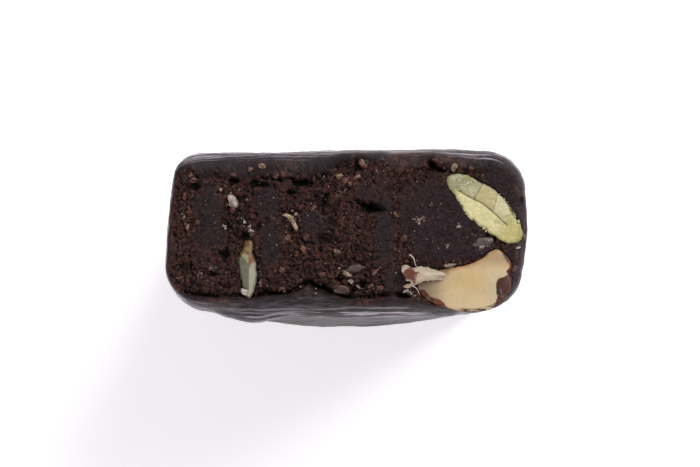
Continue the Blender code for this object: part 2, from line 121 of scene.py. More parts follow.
# The front lip's flare below the cut, with its lump near the left.
LIP_SWELL, LIP_LEFT, LIP_RIGHT, LIP_EASE = 0.60, -14.3, 12.5, 2.2
LUMP_SWELL, LUMP_X, LUMP_WIDTH = 0.60, -9.4, 2.5
SWELL_TOP, SWELL_END = 2.6, 10.0

# Where the knife smeared the dough smooth: x, y, half width along x, half height along y.
SMEARS = (
    (-13.9, 1.0, 1.5, 4.4),
    (-8.0, 3.0, 1.2, 2.2),
    (-7.6, -0.6, 1.1, 3.2),
    (3.9, 1.4, 1.2, 4.0),
    (9.4, 1.2, 4.6, 4.3),
    (4.7, -4.8, 1.3, 1.0),
    (1.9, 4.4, 1.2, 0.9),
    (12.6, -1.3, 2.2, 1.2),
    (-3.6, 1.2, 1.4, 1.3),
    (15.6, 4.9, 1.9, 2.6),
    (16.6, -3.6, 0.9, 3.6),
)

# Hollows torn in the cut: x, y, half length, half width, turn in degrees, depth.
HOLLOWS = (
    (2.8, 2.75, 0.85, 0.36, -5, 1.4),
    (1.4, 3.2, 0.9, 0.26, -32, 0.35),
    (-2.1, 3.8, 0.6, 0.26, 70, 0.5),
    (-5.6, 4.4, 0.4, 0.30, 0, 0.6),
    (8.6, 7.1, 0.6, 0.35, -60, 0.9),
    (9.5, 6.6, 0.5, 0.30, 0, 0.7),
    (1.1, 7.4, 0.6, 0.35, 90, 0.8),
    (-0.75, -4.15, 0.45, 0.32, 0, 0.7),
    (1.3, -5.0, 0.6, 0.35, 20, 0.7),
    (-16.0, -3.1, 0.9, 0.40, 0, 0.35),
    (-13.4, -3.8, 0.6, 0.28, -10, 0.6),
    (-9.95, 0.10, 0.6, 0.32, 40, 0.6),
    (-8.5, 5.2, 1.1, 0.32, -8, 0.7),
    (-11.3, 5.5, 0.5, 0.30, 0, 0.8),
    (-2.6, -5.3, 1.5, 0.40, -20, 0.8),
    (5.3, -4.6, 0.6, 0.60, 0, 0.8),
    (5.8, -5.9, 0.6, 0.40, 0, 0.6),
    (-15.2, 4.9, 0.5, 0.30, 20, 0.5),
    (-12.1, -2.0, 0.5, 0.35, 60, 0.5),
    (-4.3, 5.3, 1.2, 0.30, 5, 0.6),
)

# The larger pieces: the bends of the outline that each shows at the cut, anticlockwise.
SEED_OUTLINE = (
    (10.00, 5.35), (11.10, 3.65), (12.30, 1.80), (14.20, 0.40), (16.00, -0.72), (17.25, -0.60),
    (17.65, 0.35), (16.90, 2.00), (15.60, 4.00), (13.90, 5.20), (12.00, 6.10), (10.60, 6.10),
)
NUT_OUTLINE = (
    (7.10, -5.10), (8.20, -6.50), (9.90, -7.20), (11.80, -7.65), (14.00, -7.50), (15.40, -6.60),
    (15.40, -5.20), (16.40, -3.80), (16.35, -2.50), (15.30, -1.42), (14.25, -1.65),
    (13.65, -2.20), (12.10, -2.90), (10.40, -3.22), (9.20, -3.50), (8.00, -4.30),
)
SLIVER_OUTLINE = (
    (-9.75, -0.35), (-10.25, -0.62), (-10.48, -1.40), (-10.80, -2.05), (-10.86, -3.00),
    (-10.60, -4.40), (-10.32, -5.65), (-9.78, -6.50), (-9.30, -5.75), (-8.95, -4.30),
    (-8.96, -3.00), (-9.25, -1.90), (-9.30, -0.75),
)
FLAKE_OUTLINE = (
    (5.55, -3.10), (5.55, -3.60), (5.72, -4.05), (6.05, -4.50), (6.45, -4.72), (5.95, -4.90),
    (5.68, -5.15), (6.25, -5.28), (6.85, -5.02), (7.45, -4.70), (8.15, -4.52), (8.75, -4.52),
    (9.40, -4.44), (10.05, -4.10), (9.45, -3.72), (8.85, -3.42), (8.15, -3.20), (7.20, -3.12),
    (6.60, -3.24), (6.05, -3.02),
)

# The line that each belly narrows to and its depth, and the line that each top is laid out by.
SEED_CORE, SEED_DEPTH = ((11.8, 4.4), (15.8, 1.0)), 3.2
NUT_CORE, NUT_DEPTH = ((9.8, -5.5), (14.2, -4.4)), 5.0
SLIVER_CORE, SLIVER_DEPTH = ((-9.85, -1.9), (-9.8, -5.0)), 2.4
SEED_AXIS = ((10.0, 5.75), (17.55, -0.45))
SLIVER_AXIS = ((-9.75, -0.30), (-9.75, -6.55))
FLAKE_AXIS = ((5.60, -4.20), (10.00, -4.05))

# The crack between the seed's leaves: shares along its axis, and how far left of it each lies.
CRACK_LINE = ((0.0, 0.19, 0.31, 0.45, 0.62, 0.78, 1.0), (-0.35, -0.23, -0.03, 0.27, 0.30, 0.13, 0.0))

# How much wider and deeper the dough's hollow is than the piece that lies in it.
POCKET_GAP, POCKET_SPARE = 0.04, 0.15

# The flake lies on a patch that is pressed down: its centre, half sizes and depth.
PRESSED_X, PRESSED_Y, PRESSED_LENGTH, PRESSED_WIDTH, PRESSED = 7.8, -4.1, 2.8, 1.55, 0.30

# Small bits that show one by one: x, y, half length, half width, height, turn, colour as seen.
# SUGAR_AND_GLINT is for the smallest whitish bits: sugar crystals, and painted glints of highlight.
PALE, SUGAR_AND_GLINT, CREAM, BUFF = (150, 130, 120), (190, 178, 168), (130, 104, 86), (176, 150, 122)
TAN, RUST, GLASSY, SMOKY = (108, 74, 54), (92, 48, 36), (82, 68, 62), (88, 78, 74)
BARK, MILKY, MAROON = (86, 46, 36), (178, 158, 146), (80, 50, 40)
BITS = (
    (-11.38, 3.42, 0.58, 0.52, 0.34, 88, MILKY),
    (-11.35, 2.60, 0.30, 0.34, 0.34, 0, RUST),
    (-5.85, 1.95, 0.55, 0.22, 0.36, -20, BUFF),
    (-5.30, 1.20, 0.60, 0.20, 0.36, -65, BUFF),
    (-5.90, -0.20, 0.40, 0.26, 0.32, 60, TAN),
    (-4.30, -1.35, 0.42, 0.26, 0.32, -40, TAN),
    (-0.95, -1.60, 0.40, 0.28, 0.34, -30, TAN),
    (-8.45, 6.95, 0.30, 0.28, 0.34, 20, CREAM),
    (-9.60, 6.60, 0.26, 0.22, 0.28, 20, TAN),
    (1.75, 7.25, 0.36, 0.42, 0.40, 20, TAN),
    (-0.70, 5.95, 0.36, 0.22, 0.34, 0, CREAM),
    (1.05, 5.85, 0.34, 0.26, 0.32, 30, TAN),
    (0.62, -3.36, 0.92, 0.42, 0.26, 12, GLASSY),
    (0.02, -3.82, 0.52, 0.17, 0.34, -32, BUFF),
    (-0.50, -5.30, 0.72, 0.42, 0.16, -8, MAROON),
    (1.20, -5.15, 0.28, 0.10, 0.30, -40, CREAM),
    (0.50, -4.65, 0.16, 0.14, 0.36, 0, SUGAR_AND_GLINT),
    (13.70, -0.75, 0.95, 0.50, 0.14, -5, SMOKY),
    # This pale bit is a painted highlight on the smoky bit beside it.
    (13.60, -1.15, 0.30, 0.20, 0.26, 0, PALE),
    (14.35, -0.55, 0.30, 0.20, 0.22, 30, PALE),
    (10.85, 6.85, 0.36, 0.30, 0.40, 60, CREAM),
    (12.50, 6.75, 0.22, 0.14, 0.34, 0, TAN),
    (4.95, 2.10, 0.30, 0.20, 0.32, -40, TAN),
    (7.20, 1.55, 0.20, 0.10, 0.30, -60, SUGAR_AND_GLINT),
    (7.60, 1.75, 0.18, 0.10, 0.30, 20, PALE),
    (11.15, 0.85, 0.12, 0.12, 0.26, 0, SUGAR_AND_GLINT),
    (10.05, -1.05, 0.08, 0.08, 0.22, 0, SUGAR_AND_GLINT),
    (8.45, 3.05, 0.14, 0.12, 0.26, 0, TAN),
    (10.45, -3.02, 0.46, 0.18, 0.36, 8, PALE),
    (9.95, -3.05, 0.20, 0.12, 0.34, -20, BUFF),
    (17.15, -1.25, 0.25, 0.10, 0.30, 20, SUGAR_AND_GLINT),
    (15.85, -4.75, 1.20, 0.50, 0.20, 78, BARK),
    (15.50, -6.20, 0.80, 0.36, 0.20, 60, BARK),
    (16.75, -3.30, 0.34, 0.22, 0.24, 60, RUST),
    (17.75, -0.20, 0.10, 0.26, 0.20, 0, TAN),
    (17.75, 3.70, 0.14, 0.30, 0.30, 20, RUST),
    (-15.60, 6.05, 0.26, 0.22, 0.34, 30, TAN),
    (-15.30, 5.60, 0.30, 0.24, 0.34, 0, RUST),
    (-16.20, 3.95, 0.24, 0.34, 0.34, 0, RUST),
    (-15.90, 0.90, 0.16, 0.28, 0.32, 0, CREAM),
    (-16.20, 1.85, 0.14, 0.12, 0.30, 0, PALE),
    (-16.60, -4.25, 0.40, 0.20, 0.32, 20, RUST),
    (-13.55, -3.25, 0.18, 0.10, 0.36, 0, CREAM),
    (-14.50, -3.85, 0.12, 0.10, 0.32, 0, PALE),
    (-3.10, -5.80, 0.20, 0.10, 0.34, 0, CREAM),
    (-8.65, -4.70, 0.10, 0.10, 0.30, 0, PALE),
    (-6.45, -5.30, 0.28, 0.12, 0.32, -10, TAN),
    (5.95, -5.55, 0.30, 0.09, 0.34, 25, SUGAR_AND_GLINT),
    (6.40, -5.72, 0.28, 0.06, 0.34, -50, SUGAR_AND_GLINT),
    (-12.60, 4.60, 0.11, 0.11, 0.30, 0, SUGAR_AND_GLINT),
    (-10.75, 4.55, 0.12, 0.10, 0.30, 0, CREAM),
    (-12.25, 0.95, 0.09, 0.10, 0.28, 0, SUGAR_AND_GLINT),
    (-10.15, -5.62, 0.48, 0.30, 0.34, -28, SUGAR_AND_GLINT),
    (2.35, -5.10, 0.34, 0.22, 0.18, 20, MAROON),
    (-0.15, 5.55, 0.42, 0.28, 0.30, 10, RUST),
    (0.40, 5.15, 0.30, 0.22, 0.30, -20, RUST),
    (-3.30, 2.75, 0.35, 0.25, 0.30, 30, RUST),
    (-4.60, 2.90, 0.30, 0.22, 0.30, 0, RUST),
    (-2.40, -3.90, 0.35, 0.25, 0.30, 0, RUST),
    (2.90, -3.60, 0.40, 0.30, 0.28, 20, RUST),
    (3.30, -5.25, 0.35, 0.24, 0.24, 0, RUST),
    (-5.10, 2.10, 0.22, 0.16, 0.34, 60, BUFF),
)

# How many small crumbs stand round each of them, and the base colour of the cocoa on them.
BIT_CRUMBS = 6
COCOA = (0.042, 0.022, 0.020)

# How much brighter than a white card under plain light the studio shows an upward face.
STUDIO_LIGHT = 1.2

# The seed of every random draw.
SEED = 11

# The largest turn drawn, in radians: a little over a full turn.
FULL_TURN = 6.3

# The numbers of the colour inputs and of the colour output of a node that mixes.
MIX_FIRST, MIX_SECOND, MIX_RESULT = 6, 7, 2


def linear(colour):
    """The base colour that is seen as this colour, 0 to 255, on an upward face in the studio."""
    share = np.asarray(colour, float) / 255
    seen = np.where(share <= 0.04045, share / 12.92, ((share + 0.055) / 1.055) ** 2.4)
    return seen / STUDIO_LIGHT


def mixed(first, second, share):
    """Two colours mixed point by point."""
    share = np.asarray(share)[:, None]
    return np.asarray(first) * (1 - share) + np.asarray(second) * share


def painted(tint, *coats):
    """Base colours with others laid over them: each coat's colour as seen, and its share."""
    for colour, share in coats:
        tint = mixed(tint, linear(colour), share)
    return tint


def rise(low, high, value):
    """0 below low, 1 above high, and eased between."""
    share = np.clip((value - low) / (high - low), 0, 1)
    return share * share * (3 - 2 * share)


def fall(low, high, value):
    """1 below low, 0 above high, and eased between."""
    return 1 - rise(low, high, value)


def band(start, full, fading, gone, value):
    """1 from full to fading, easing to 0 at start and at gone."""
    return rise(start, full, value) * fall(fading, gone, value)


def bell(value, centre, width):
    """1 at the centre, falling away smoothly on both sides."""
    return np.exp(-(((value - centre) / width) ** 2))


def lattice(x, y, z, seed):
    """A repeatable random share for each whole-numbered place."""
    stirred = x.astype(np.uint32) * np.uint32(374761393) + y.astype(np.uint32) * np.uint32(668265263)
    stirred += z.astype(np.uint32) * np.uint32(2246822519) + np.uint32(seed * 40503 + 977)
    stirred = (stirred ^ (stirred >> np.uint32(13))) * np.uint32(1274126177)
    stirred ^= stirred >> np.uint32(16)
    return stirred.astype(np.float64) / 2**32


def noise(places, size, seed, octaves=3):
    """Smooth noise from -1 to 1, its largest waves about size long, one number or one per axis."""
    total, weight, weights = 0.0, 1.0, 0.0
    for octave in range(octaves):
        place = places / np.asarray(size, float) * 2**octave
        cell = np.floor(place).astype(np.int64)
        part = place - cell
        part = part * part * (3 - 2 * part)
        value = 0.0
        for corner in itertools.product((0, 1), repeat=3):
            share = np.prod(np.where(corner, part, 1 - part), axis=1)
            value = value + share * lattice(*(cell + corner).T, seed + octave)
        total = total + weight * (2 * value - 1)
        weights += weight
        weight *= 0.5
    return total / weights


def flat_noise(x, y, size, seed, octaves=3):
    """The same noise over places on the cut."""
    return noise(np.column_stack((x, y, x * 0)), size, seed, octaves)


def lumps(x, y, size, seed):
    """Packed angular crumbs: the height on a crumb, 0 between them, and the crumb's random share."""
    place = np.column_stack((x, y)) / size
    cell = np.floor(place).astype(np.int64)
    nearest, second = np.full(len(x), 9.0), np.full(len(x), 9.0)
    owner, slope = np.zeros(len(x)), np.zeros(len(x))
    layer = np.zeros(len(x), np.int64)
    for step in itertools.product((-1, 0, 1), repeat=2):
        at = cell + step
        off_x = place[:, 0] - at[:, 0] - 0.1 - 0.8 * lattice(*at.T, layer, seed)
        off_y = place[:, 1] - at[:, 1] - 0.1 - 0.8 * lattice(*at.T, layer, seed + 1)
        turn = 2 * math.pi * lattice(*at.T, layer, seed + 3)
        gap = np.hypot(off_x, off_y)
        closer = gap < nearest
        second = np.where(closer, nearest, np.minimum(second, gap))
        nearest = np.where(closer, gap, nearest)
        owner = np.where(closer, lattice(*at.T, layer, seed + 2), owner)
        slope = np.where(closer, off_x * np.cos(turn) + off_y * np.sin(turn), slope)
    return rise(0, 0.45, second - nearest) * (0.75 + 0.6 * slope), owner


def along_x(x, table):
    """The value that a table of places along x gives each x."""
    places, values = np.array(table).T
    return np.interp(x, places, values)


def line_place(x, y, line):
    """Where places lie beside a line: the share along it, and the distance to its left."""
    start, end = np.array(line)
    length = np.linalg.norm(end - start)
    unit_x, unit_y = (end - start) / length
    along = (x - start[0]) * unit_x + (y - start[1]) * unit_y
    left = (y - start[1]) * unit_x - (x - start[0]) * unit_y
    return along / length, left


def even_loop(line, count):
    """Even points along a closed line, and their outward normals."""
    line = np.concatenate((line, line[:1]))
    length = np.concatenate(((0,), np.cumsum(np.linalg.norm(np.diff(line, axis=0), axis=1))))
    at = np.linspace(0, length[-1], count, endpoint=False)
    points = np.stack([np.interp(at, length, line[:, axis]) for axis in (0, 1)], axis=1)
    tangent = np.roll(points, -1, axis=0) - np.roll(points, 1, axis=0)
    tangent /= np.linalg.norm(tangent, axis=1)[:, None]
    return points, np.stack((tangent[:, 1], -tangent[:, 0]), axis=1)


def corner_arc(before, corner, after, radius, steps=20):
    """Points round one corner of an anticlockwise outline."""
    inward = (corner - before) / np.linalg.norm(corner - before)
    outward = (after - corner) / np.linalg.norm(after - corner)
    turn = math.acos(float(np.clip(inward @ outward, -1, 1)))
    left = np.array((-inward[1], inward[0]))
    centre = corner - inward * radius * math.tan(turn / 2) + left * radius
    angles = math.atan2(-left[1], -left[0]) + turn * np.linspace(0, 1, steps)
    return centre + radius * np.stack((np.cos(angles), np.sin(angles)), axis=1)


def rounded_outline(corners, count):
    """A closed outline in mm with round corners and bowed edges, and its outward normals."""
    spots = [np.array(corner[:2]) for corner in corners]
    arcs = [
        corner_arc(spots[i - 1], spots[i], spots[(i + 1) % 4], corners[i][2]) for i in range(4)
    ]
    pieces = []
    for i, arc in enumerate(arcs):
        start, end = arc[-1], arcs[(i + 1) % 4][0]
        share = np.linspace(0, 1, 60)[1:-1, None]
        along = (end - start) / np.linalg.norm(end - start)
        bow = corners[i][3] * 4 * share * (1 - share)
        pieces += [arc, start + (end - start) * share + bow * np.array((along[1], -along[0]))]
    return even_loop(np.concatenate(pieces), count)


def closed_curve(outline, count):
    """A smooth closed curve through an outline, and its outward normals."""
    knots = np.array(outline)
    before, after, later = (np.roll(knots, shift, axis=0) for shift in (1, -1, -2))
    t = np.linspace(0, 1, 16, endpoint=False)[:, None, None]
    line = 0.5 * (2 * knots + (after - before) * t
                  + (2 * before - 5 * knots + 4 * after - later) * t**2
                  + (3 * knots - before - 3 * after + later) * t**3)
    return even_loop(line.transpose(1, 0, 2).reshape(-1, 2), count)


def inside(x, y, loop):
    """Which places lie inside a closed loop, by counting the edges that a ray crosses."""
    start, end = loop, np.roll(loop, -1, axis=0)
    found = np.zeros(len(x), bool)
    for (x0, y0), (x1, y1) in zip(start, end):
        if y0 != y1:
            crossing = x0 + (y - y0) * (x1 - x0) / (y1 - y0)
            found ^= ((y0 > y) != (y1 > y)) & (x < crossing)
    return found


def edge_distance(x, y, loop):
    """The distance to a loop's nearest point, and that point's number."""
    tree = KDTree(len(loop))
    for index, (at_x, at_y) in enumerate(loop):
        tree.insert((at_x, at_y, 0), index)
    tree.balance()
    found = [tree.find((at_x, at_y, 0))[1:] for at_x, at_y in zip(x, y)]
    return np.array([row[1] for row in found]), np.array([row[0] for row in found])


def over_cut(x, y, height):
    """Points at a height over the plane of the cut."""
    return np.column_stack((x, y, LEVEL + height + np.zeros(len(x))))


def depth_inside(x, y, outline):
    """How far inside a piece's outline each place is; negative outside."""
    loop, _ = closed_curve(outline, 400)
    away, _ = edge_distance(x, y, loop)
    return np.where(inside(x, y, loop), away, -away)


def grid_inside(loop, spacing, margin):
    """A staggered, slightly jittered grid inside a loop, and each point's distance to the loop."""
    draw = np.random.default_rng(SEED)
    low, high = loop.min(axis=0), loop.max(axis=0)
    rows = np.arange(low[1], high[1], spacing * math.sqrt(3) / 2)
    columns = np.arange(low[0], high[0], spacing)
    x = np.concatenate([columns + spacing / 2 * (i % 2) for i in range(len(rows))])
    y = np.repeat(rows, len(columns))
    x = x + draw.uniform(-0.2, 0.2, len(x)) * spacing
    y = y + draw.uniform(-0.2, 0.2, len(y)) * spacing
    kept = inside(x, y, loop)
    x, y = x[kept], y[kept]
    away, nearest = edge_distance(x, y, loop)
    kept = away > margin
    return x[kept], y[kept], away[kept], nearest[kept].astype(int)


def cap_faces(loop, x, y, first_loop, first_inner):
    """Triangles that fill a loop through its inner points."""
    flat = [Vector(spot) for spot in zip(*np.concatenate((loop, np.column_stack((x, y)))).T.tolist())]
    count = len(loop)
    _, _, faces, came_from, _, _ = delaunay_2d_cdt(flat, [], [list(range(count))], 1, 1e-6)
    number = [
        first_loop + sources[0] if sources[0] < count else first_inner + sources[0] - count
        for sources in came_from
    ]
    return [[number[corner] for corner in face] for face in faces]


def bridge(low, high, count):
    """The quads between two rings of count points each."""
    return [(low + i, low + (i + 1) % count, high + (i + 1) % count, high + i) for i in range(count)]


def stacked_faces(rings, x, y):
    """The faces of stacked rings, closed by a flat foot and a cap, and the number of the cap's first."""
    count = len(rings[0])
    faces = [list(range(count - 1, -1, -1))]
    for level in range(len(rings) - 1):
        faces += bridge(level * count, (level + 1) * count, count)
    first = len(faces)
    faces += cap_faces(rings[-1][:, :2], x, y, (len(rings) - 1) * count, len(rings) * count)
    return faces, first


def placed(name, data):
    """A new object, linked to the scene."""
    made = bpy.data.objects.new(name, data)
    bpy.context.scene.collection.objects.link(made)
    return made


def add_piece(name, points, faces, materials, slot, nodes=(), second_from=None, **values):
    """A mesh piece from points in mm, with its per-point values kept as attributes for its materials.

    The faces from number second_from on take the second material.
    """
    mesh = bpy.data.meshes.new(name)
    mesh.from_pydata((np.asarray(points) * MM).tolist(), [], faces)
    tidy = bmesh.new()
    tidy.from_mesh(mesh)
    bmesh.ops.recalc_face_normals(tidy, faces=tidy.faces)
    tidy.to_mesh(mesh)
    tidy.free()
    for label, value in values.items():
        value = np.asarray(value, float)
        if value.ndim == 1:
            mesh.attributes.new(label, "FLOAT", "POINT").data.foreach_set("value", value)
        else:
            full = np.column_stack((value, np.ones(len(value)))).ravel()
            mesh.attributes.new(label, "FLOAT_COLOR", "POINT").data.foreach_set("color", full)
    for material in materials:
        mesh.materials.append(material)
    if second_from is not None:
        numbers = (np.arange(len(mesh.polygons)) >= second_from).astype(np.int32)
        mesh.polygons.foreach_set("material_index", numbers)
    mesh.shade_smooth()
    piece = placed(name, mesh)
    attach(piece, "root")
    if nodes:
        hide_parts(*nodes)
    return piece


def side_shares(normals):
    """How much of each side there is at each outline point: back, front, right, left."""
    x, y = normals[:, 0], normals[:, 1]
    return [np.maximum(side, 0) ** 2 for side in (y, -y, x, -x)]


def shoulder(points, normals):
    """The reach and drop of the rolled edge at each outline point."""
    back, front, right, left = side_shares(normals)
    x = points[:, 0]
    reach = along_x(x, BACK_REACH) * back + along_x(x, FRONT_REACH) * front
    reach += RIGHT_REACH * right + LEFT_REACH * left
    drop = BACK_DROP * back + FRONT_DROP * front + RIGHT_DROP * right + LEFT_DROP * left
    return reach * (1 + 0.16 * flat_noise(*points.T, 1.5, 5, 4)), drop


def lip_swell(x, normals, depth):
    """How far the front lip stands out at a depth below the cut."""
    along = band(LIP_LEFT, LIP_LEFT + LIP_EASE, LIP_RIGHT - LIP_EASE, LIP_RIGHT, x)
    lump = LUMP_SWELL * bell(x, LUMP_X, LUMP_WIDTH)
    fade = rise(0, SWELL_TOP, depth) * fall(SWELL_TOP, SWELL_END, depth)
    return side_shares(normals)[1] * (LIP_SWELL * along + lump) * fade


def skin_relief(places):
    """The skin's long waves, the wrinkles that run round the bar, and its fine grain."""
    waves = 0.16 * noise(places, (8, 8, 3.2), 21, 2)
    wrinkles = 0.13 * noise(places, (4.5, 4.5, 1.3), 31, 3)
    grain = 0.04 * noise(places, (0.9, 0.9, 0.9), 36, 2)
    folds = rise(0.20, 0.50, noise(places, (5, 5, 1.1), 41, 3))
    return waves + wrinkles + grain - 0.18 * folds


def hollow_depth(x, y):
    """How deep the torn hollows go."""
    deep = np.zeros(len(x))
    ragged = 1 + 0.9 * flat_noise(x, y, 0.55, 61, 3)
    for centre_x, centre_y, half_length, half_width, degrees, depth in HOLLOWS:
        turn = math.radians(degrees)
        along = (x - centre_x) * math.cos(turn) + (y - centre_y) * math.sin(turn)
        across = (y - centre_y) * math.cos(turn) - (x - centre_x) * math.sin(turn)
        away = ((along / half_length) ** 2 + (across / half_width) ** 2) * ragged
        deep += depth * np.exp(-(away**1.5))
    return deep


def smear_share(x, y):
    """1 where the knife smeared the dough smooth, 0 where it tore into crumbs."""
    ragged = 0.55 * flat_noise(x, y, 1.5, 71, 4)
    share = np.zeros(len(x))
    for centre_x, centre_y, half_x, half_y in SMEARS:
        away = np.hypot((x - centre_x) / half_x, (y - centre_y) / half_y) + ragged
        share = np.maximum(share, fall(0.60, 1.30, away))
    return share


def pressed_share(x, y):
    """1 under the flake, easing to 0 around it."""
    away = np.hypot((x - PRESSED_X) / PRESSED_LENGTH, (y - PRESSED_Y) / PRESSED_WIDTH)
    return fall(0.75, 1.45, away)


def cut_relief(x, y):
    """The cut face's height over its plane, how smeared it is, and how ruddy its crumbs are."""
    smeared = smear_share(x, y)
    bent_x = x + 0.22 * flat_noise(x, y, 0.45, 83, 2)
    bent_y = y + 0.22 * flat_noise(x, y, 0.45, 84, 2)
    coarse, coarse_share = lumps(bent_x, bent_y, 0.85, 81)
    middling, middling_share = lumps(bent_x + 5, bent_y + 3, 0.46, 85)
    fine, fine_share = lumps(bent_x + 9, bent_y + 7, 0.27, 89)
    grain = flat_noise(x, y, 0.24, 91, 2)
    torn = 0.26 * (coarse - 0.5) * (0.3 + coarse_share)
    torn += 0.28 * (middling - 0.5) * (0.2 + middling_share)
    torn += 0.16 * (fine - 0.5) * (0.3 + fine_share) + 0.06 * grain
    torn += 0.26 * flat_noise(x, y, 2.4, 93, 3)
    torn -= 0.26 * (coarse_share < 0.12) * coarse + 0.28 * (middling_share < 0.12) * middling
    dragged = 0.12 * flat_noise(x, y, 1.6, 97, 3) + 0.05 * (fine - 0.5) + 0.05 * grain
    dragged -= 0.20 * (middling_share < 0.06) * middling
    height = torn * (1 - smeared) + dragged * smeared - 0.10 * (1 - smeared) - hollow_depth(x, y)
    ruddy = 0.35 * coarse_share + 0.35 * middling_share + 0.30 * fine_share
    ruddy = ruddy + 0.35 * flat_noise(x, y, 2.8, 99, 2)
    pressed = pressed_share(x, y)
    return height * (1 - pressed) - PRESSED * pressed, smeared, ruddy


def pocket_depth(x, y):
    """How deep the dough is hollowed for the seeds and nuts, a narrow dark seam clear of each."""
    deep = np.zeros(len(x))
    for outline, core, depth in (
        (SEED_OUTLINE, SEED_CORE, SEED_DEPTH),
        (NUT_OUTLINE, NUT_CORE, NUT_DEPTH),
        (SLIVER_OUTLINE, SLIVER_CORE, SLIVER_DEPTH),
    ):
        within = depth_inside(x, y, outline) + POCKET_GAP
        share, left = line_place(x, y, core)
        beyond = np.maximum(np.maximum(-share, share - 1), 0) * np.linalg.norm(np.subtract(*core))
        to_rim = 1 - within / (within + np.hypot(beyond, left) + 1e-6)
        bowl = (depth + POCKET_SPARE) * np.clip(1 - to_rim**2, 0, 1) ** 0.4
        deep = np.maximum(deep, np.where(within > 0, bowl, 0))
    return deep


def wall_rings():
    """The rings of the bar's skin in mm, from its foot up and over the rolled edge.

    With them come how upright the skin is, how far out and down it lies, and the outline's normals.
    """
    foot, foot_normals = rounded_outline(FOOT_CORNERS, AROUND)
    cut, cut_normals = rounded_outline(CUT_CORNERS, AROUND)
    reach, drop = shoulder(cut, cut_normals)
    rings, upright, down = [], [], []

    def ring(z, inset, topness, upright_share):
        share = np.clip(z / LEVEL, 0, 1)[:, None]
        flat = foot * (1 - share) + cut * share
        normals = foot_normals * (1 - share) + cut_normals * share
        places = np.column_stack((flat - normals * np.reshape(inset, (-1, 1)), z))
        sides = lip_swell(flat[:, 0], normals, LEVEL - z)
        sides += skin_relief(places) * rise(0, 0.6, z) * (1 - topness) - inset
        rough = 0.05 * noise(places, 0.6, 43, 3) * rise(LEVEL - 6, LEVEL - 1, z)
        moved = flat + normals * (sides + rough)[:, None]
        lifted = z + topness * (0.5 * skin_relief(places * (1, 1, 3)) + rough - 0.05)
        lifted -= topness * hollow_depth(moved[:, 0], moved[:, 1])
        down.append(DROP_SEEN * (LEVEL - z) - inset)
        upright.append(upright_share)
        rings.append(np.column_stack((moved, lifted)))

    for angle in np.linspace(0, math.pi / 2, FOOT_RINGS, endpoint=False):
        z = np.full(AROUND, FOOT_ROUNDING * (1 - math.cos(angle)))
        ring(z, FOOT_ROUNDING * (1 - math.sin(angle)), 0, 1)
    lower = np.linspace(0, UPPER_FROM, LOWER_RINGS, endpoint=False)
    for share in (*lower, *np.linspace(UPPER_FROM, 1, UPPER_RINGS)[:-1]):
        ring(FOOT_ROUNDING + share * (LEVEL - drop - FOOT_ROUNDING), 0, 0, 1)
    for angle in np.linspace(0, math.pi / 2, ROLL_RINGS):
        ring(LEVEL - drop * (1 - math.sin(angle)), reach * (1 - math.cos(angle)),
             math.sin(angle) ** 4, math.cos(angle))
    return rings, np.repeat(upright, AROUND), np.concatenate(down), cut_normals


def crease_depth(points, normals):
    """The depth of the fold between the rolled edge and the cut, along the rolled edge."""
    back, front, _, _ = side_shares(normals)
    kept = fall(CREASE_FADES, CREASE_GONE, points[:, 0])
    uneven = flat_noise(points[:, 0], points[:, 1], 1.8, 7, 3)
    broken = back * np.clip(0.5 + 2.2 * uneven, 0, 1.2) * (CREASE_LEAST + (1 - CREASE_LEAST) * kept)
    return CREASE_DEPTH * (broken + front * kept * (1 + 0.6 * uneven))


def dough():
    """The bar's skin and its cut face as one closed mesh."""
    rings, upright, down, normals = wall_rings()
    rim, skin_points = rings[-1], np.concatenate(rings)
    x, y, away, nearest = grid_inside(rim[:, :2], CAP_SPACING, margin=0.07)
    faces, first_of_cut = stacked_faces(rings, x, y)
    relief, smeared, ruddy = cut_relief(x, y)
    clear = rise(0, 0.40, away)
    fold = crease_depth(rim, normals)[nearest]
    fold = fold * bell(away, CREASE_PLACE, CREASE_WIDTH) * rise(0, 0.15, away)
    start = rim[nearest, 2] - LEVEL
    height = start * (1 - clear) + relief * clear - fold - pocket_depth(x, y)
    points = np.concatenate((skin_points, over_cut(x, y, height)))
    patchy = noise(skin_points, (1.6, 1.6, 1.2), 51, 4)
    back, front, right, left = side_shares(normals)
    # How strongly the painted blue-grey highlight dashes show round the outline.
    dashes = along_x(rim[:, 0], FRONT_PAINTED_DASHES) * front
    drawn = np.tile(dashes + 0.08 * back + 0.30 * right + 0.30 * left, len(rings))
    # How much painted highlight of pale gloss each side of the lip gets.
    painted_gloss = along_x(rim[:, 0], BACK_PAINTED_GLOSS) * back + along_x(rim[:, 0], FRONT_PAINTED_GLOSS) * front
    painted_gloss = np.tile(painted_gloss + LEFT_PAINTED_GLOSS * left + RIGHT_PAINTED_GLOSS * right, len(rings))
    walls_only = {"down": down, "upright": upright, "drawn": drawn, "painted_gloss": painted_gloss}
    return add_piece(
        "bar_dough_fine", points, faces, (skin_material(), cut_material()), "dough", ("bar_dough",),
        first_of_cut,
        smear=np.concatenate((np.ones(len(skin_points)), smeared)),
        # The height that the cut material darkens by, as painted shade in deep places and in the crease.
        lift=np.concatenate((np.zeros(len(skin_points)), relief - 0.35 * fold)),
        ruddy=np.concatenate((0.44 + 1.4 * patchy - 0.24 * upright**2, ruddy)),
        **{label: np.concatenate((value, np.zeros(len(x)))) for label, value in walls_only.items()},
    )


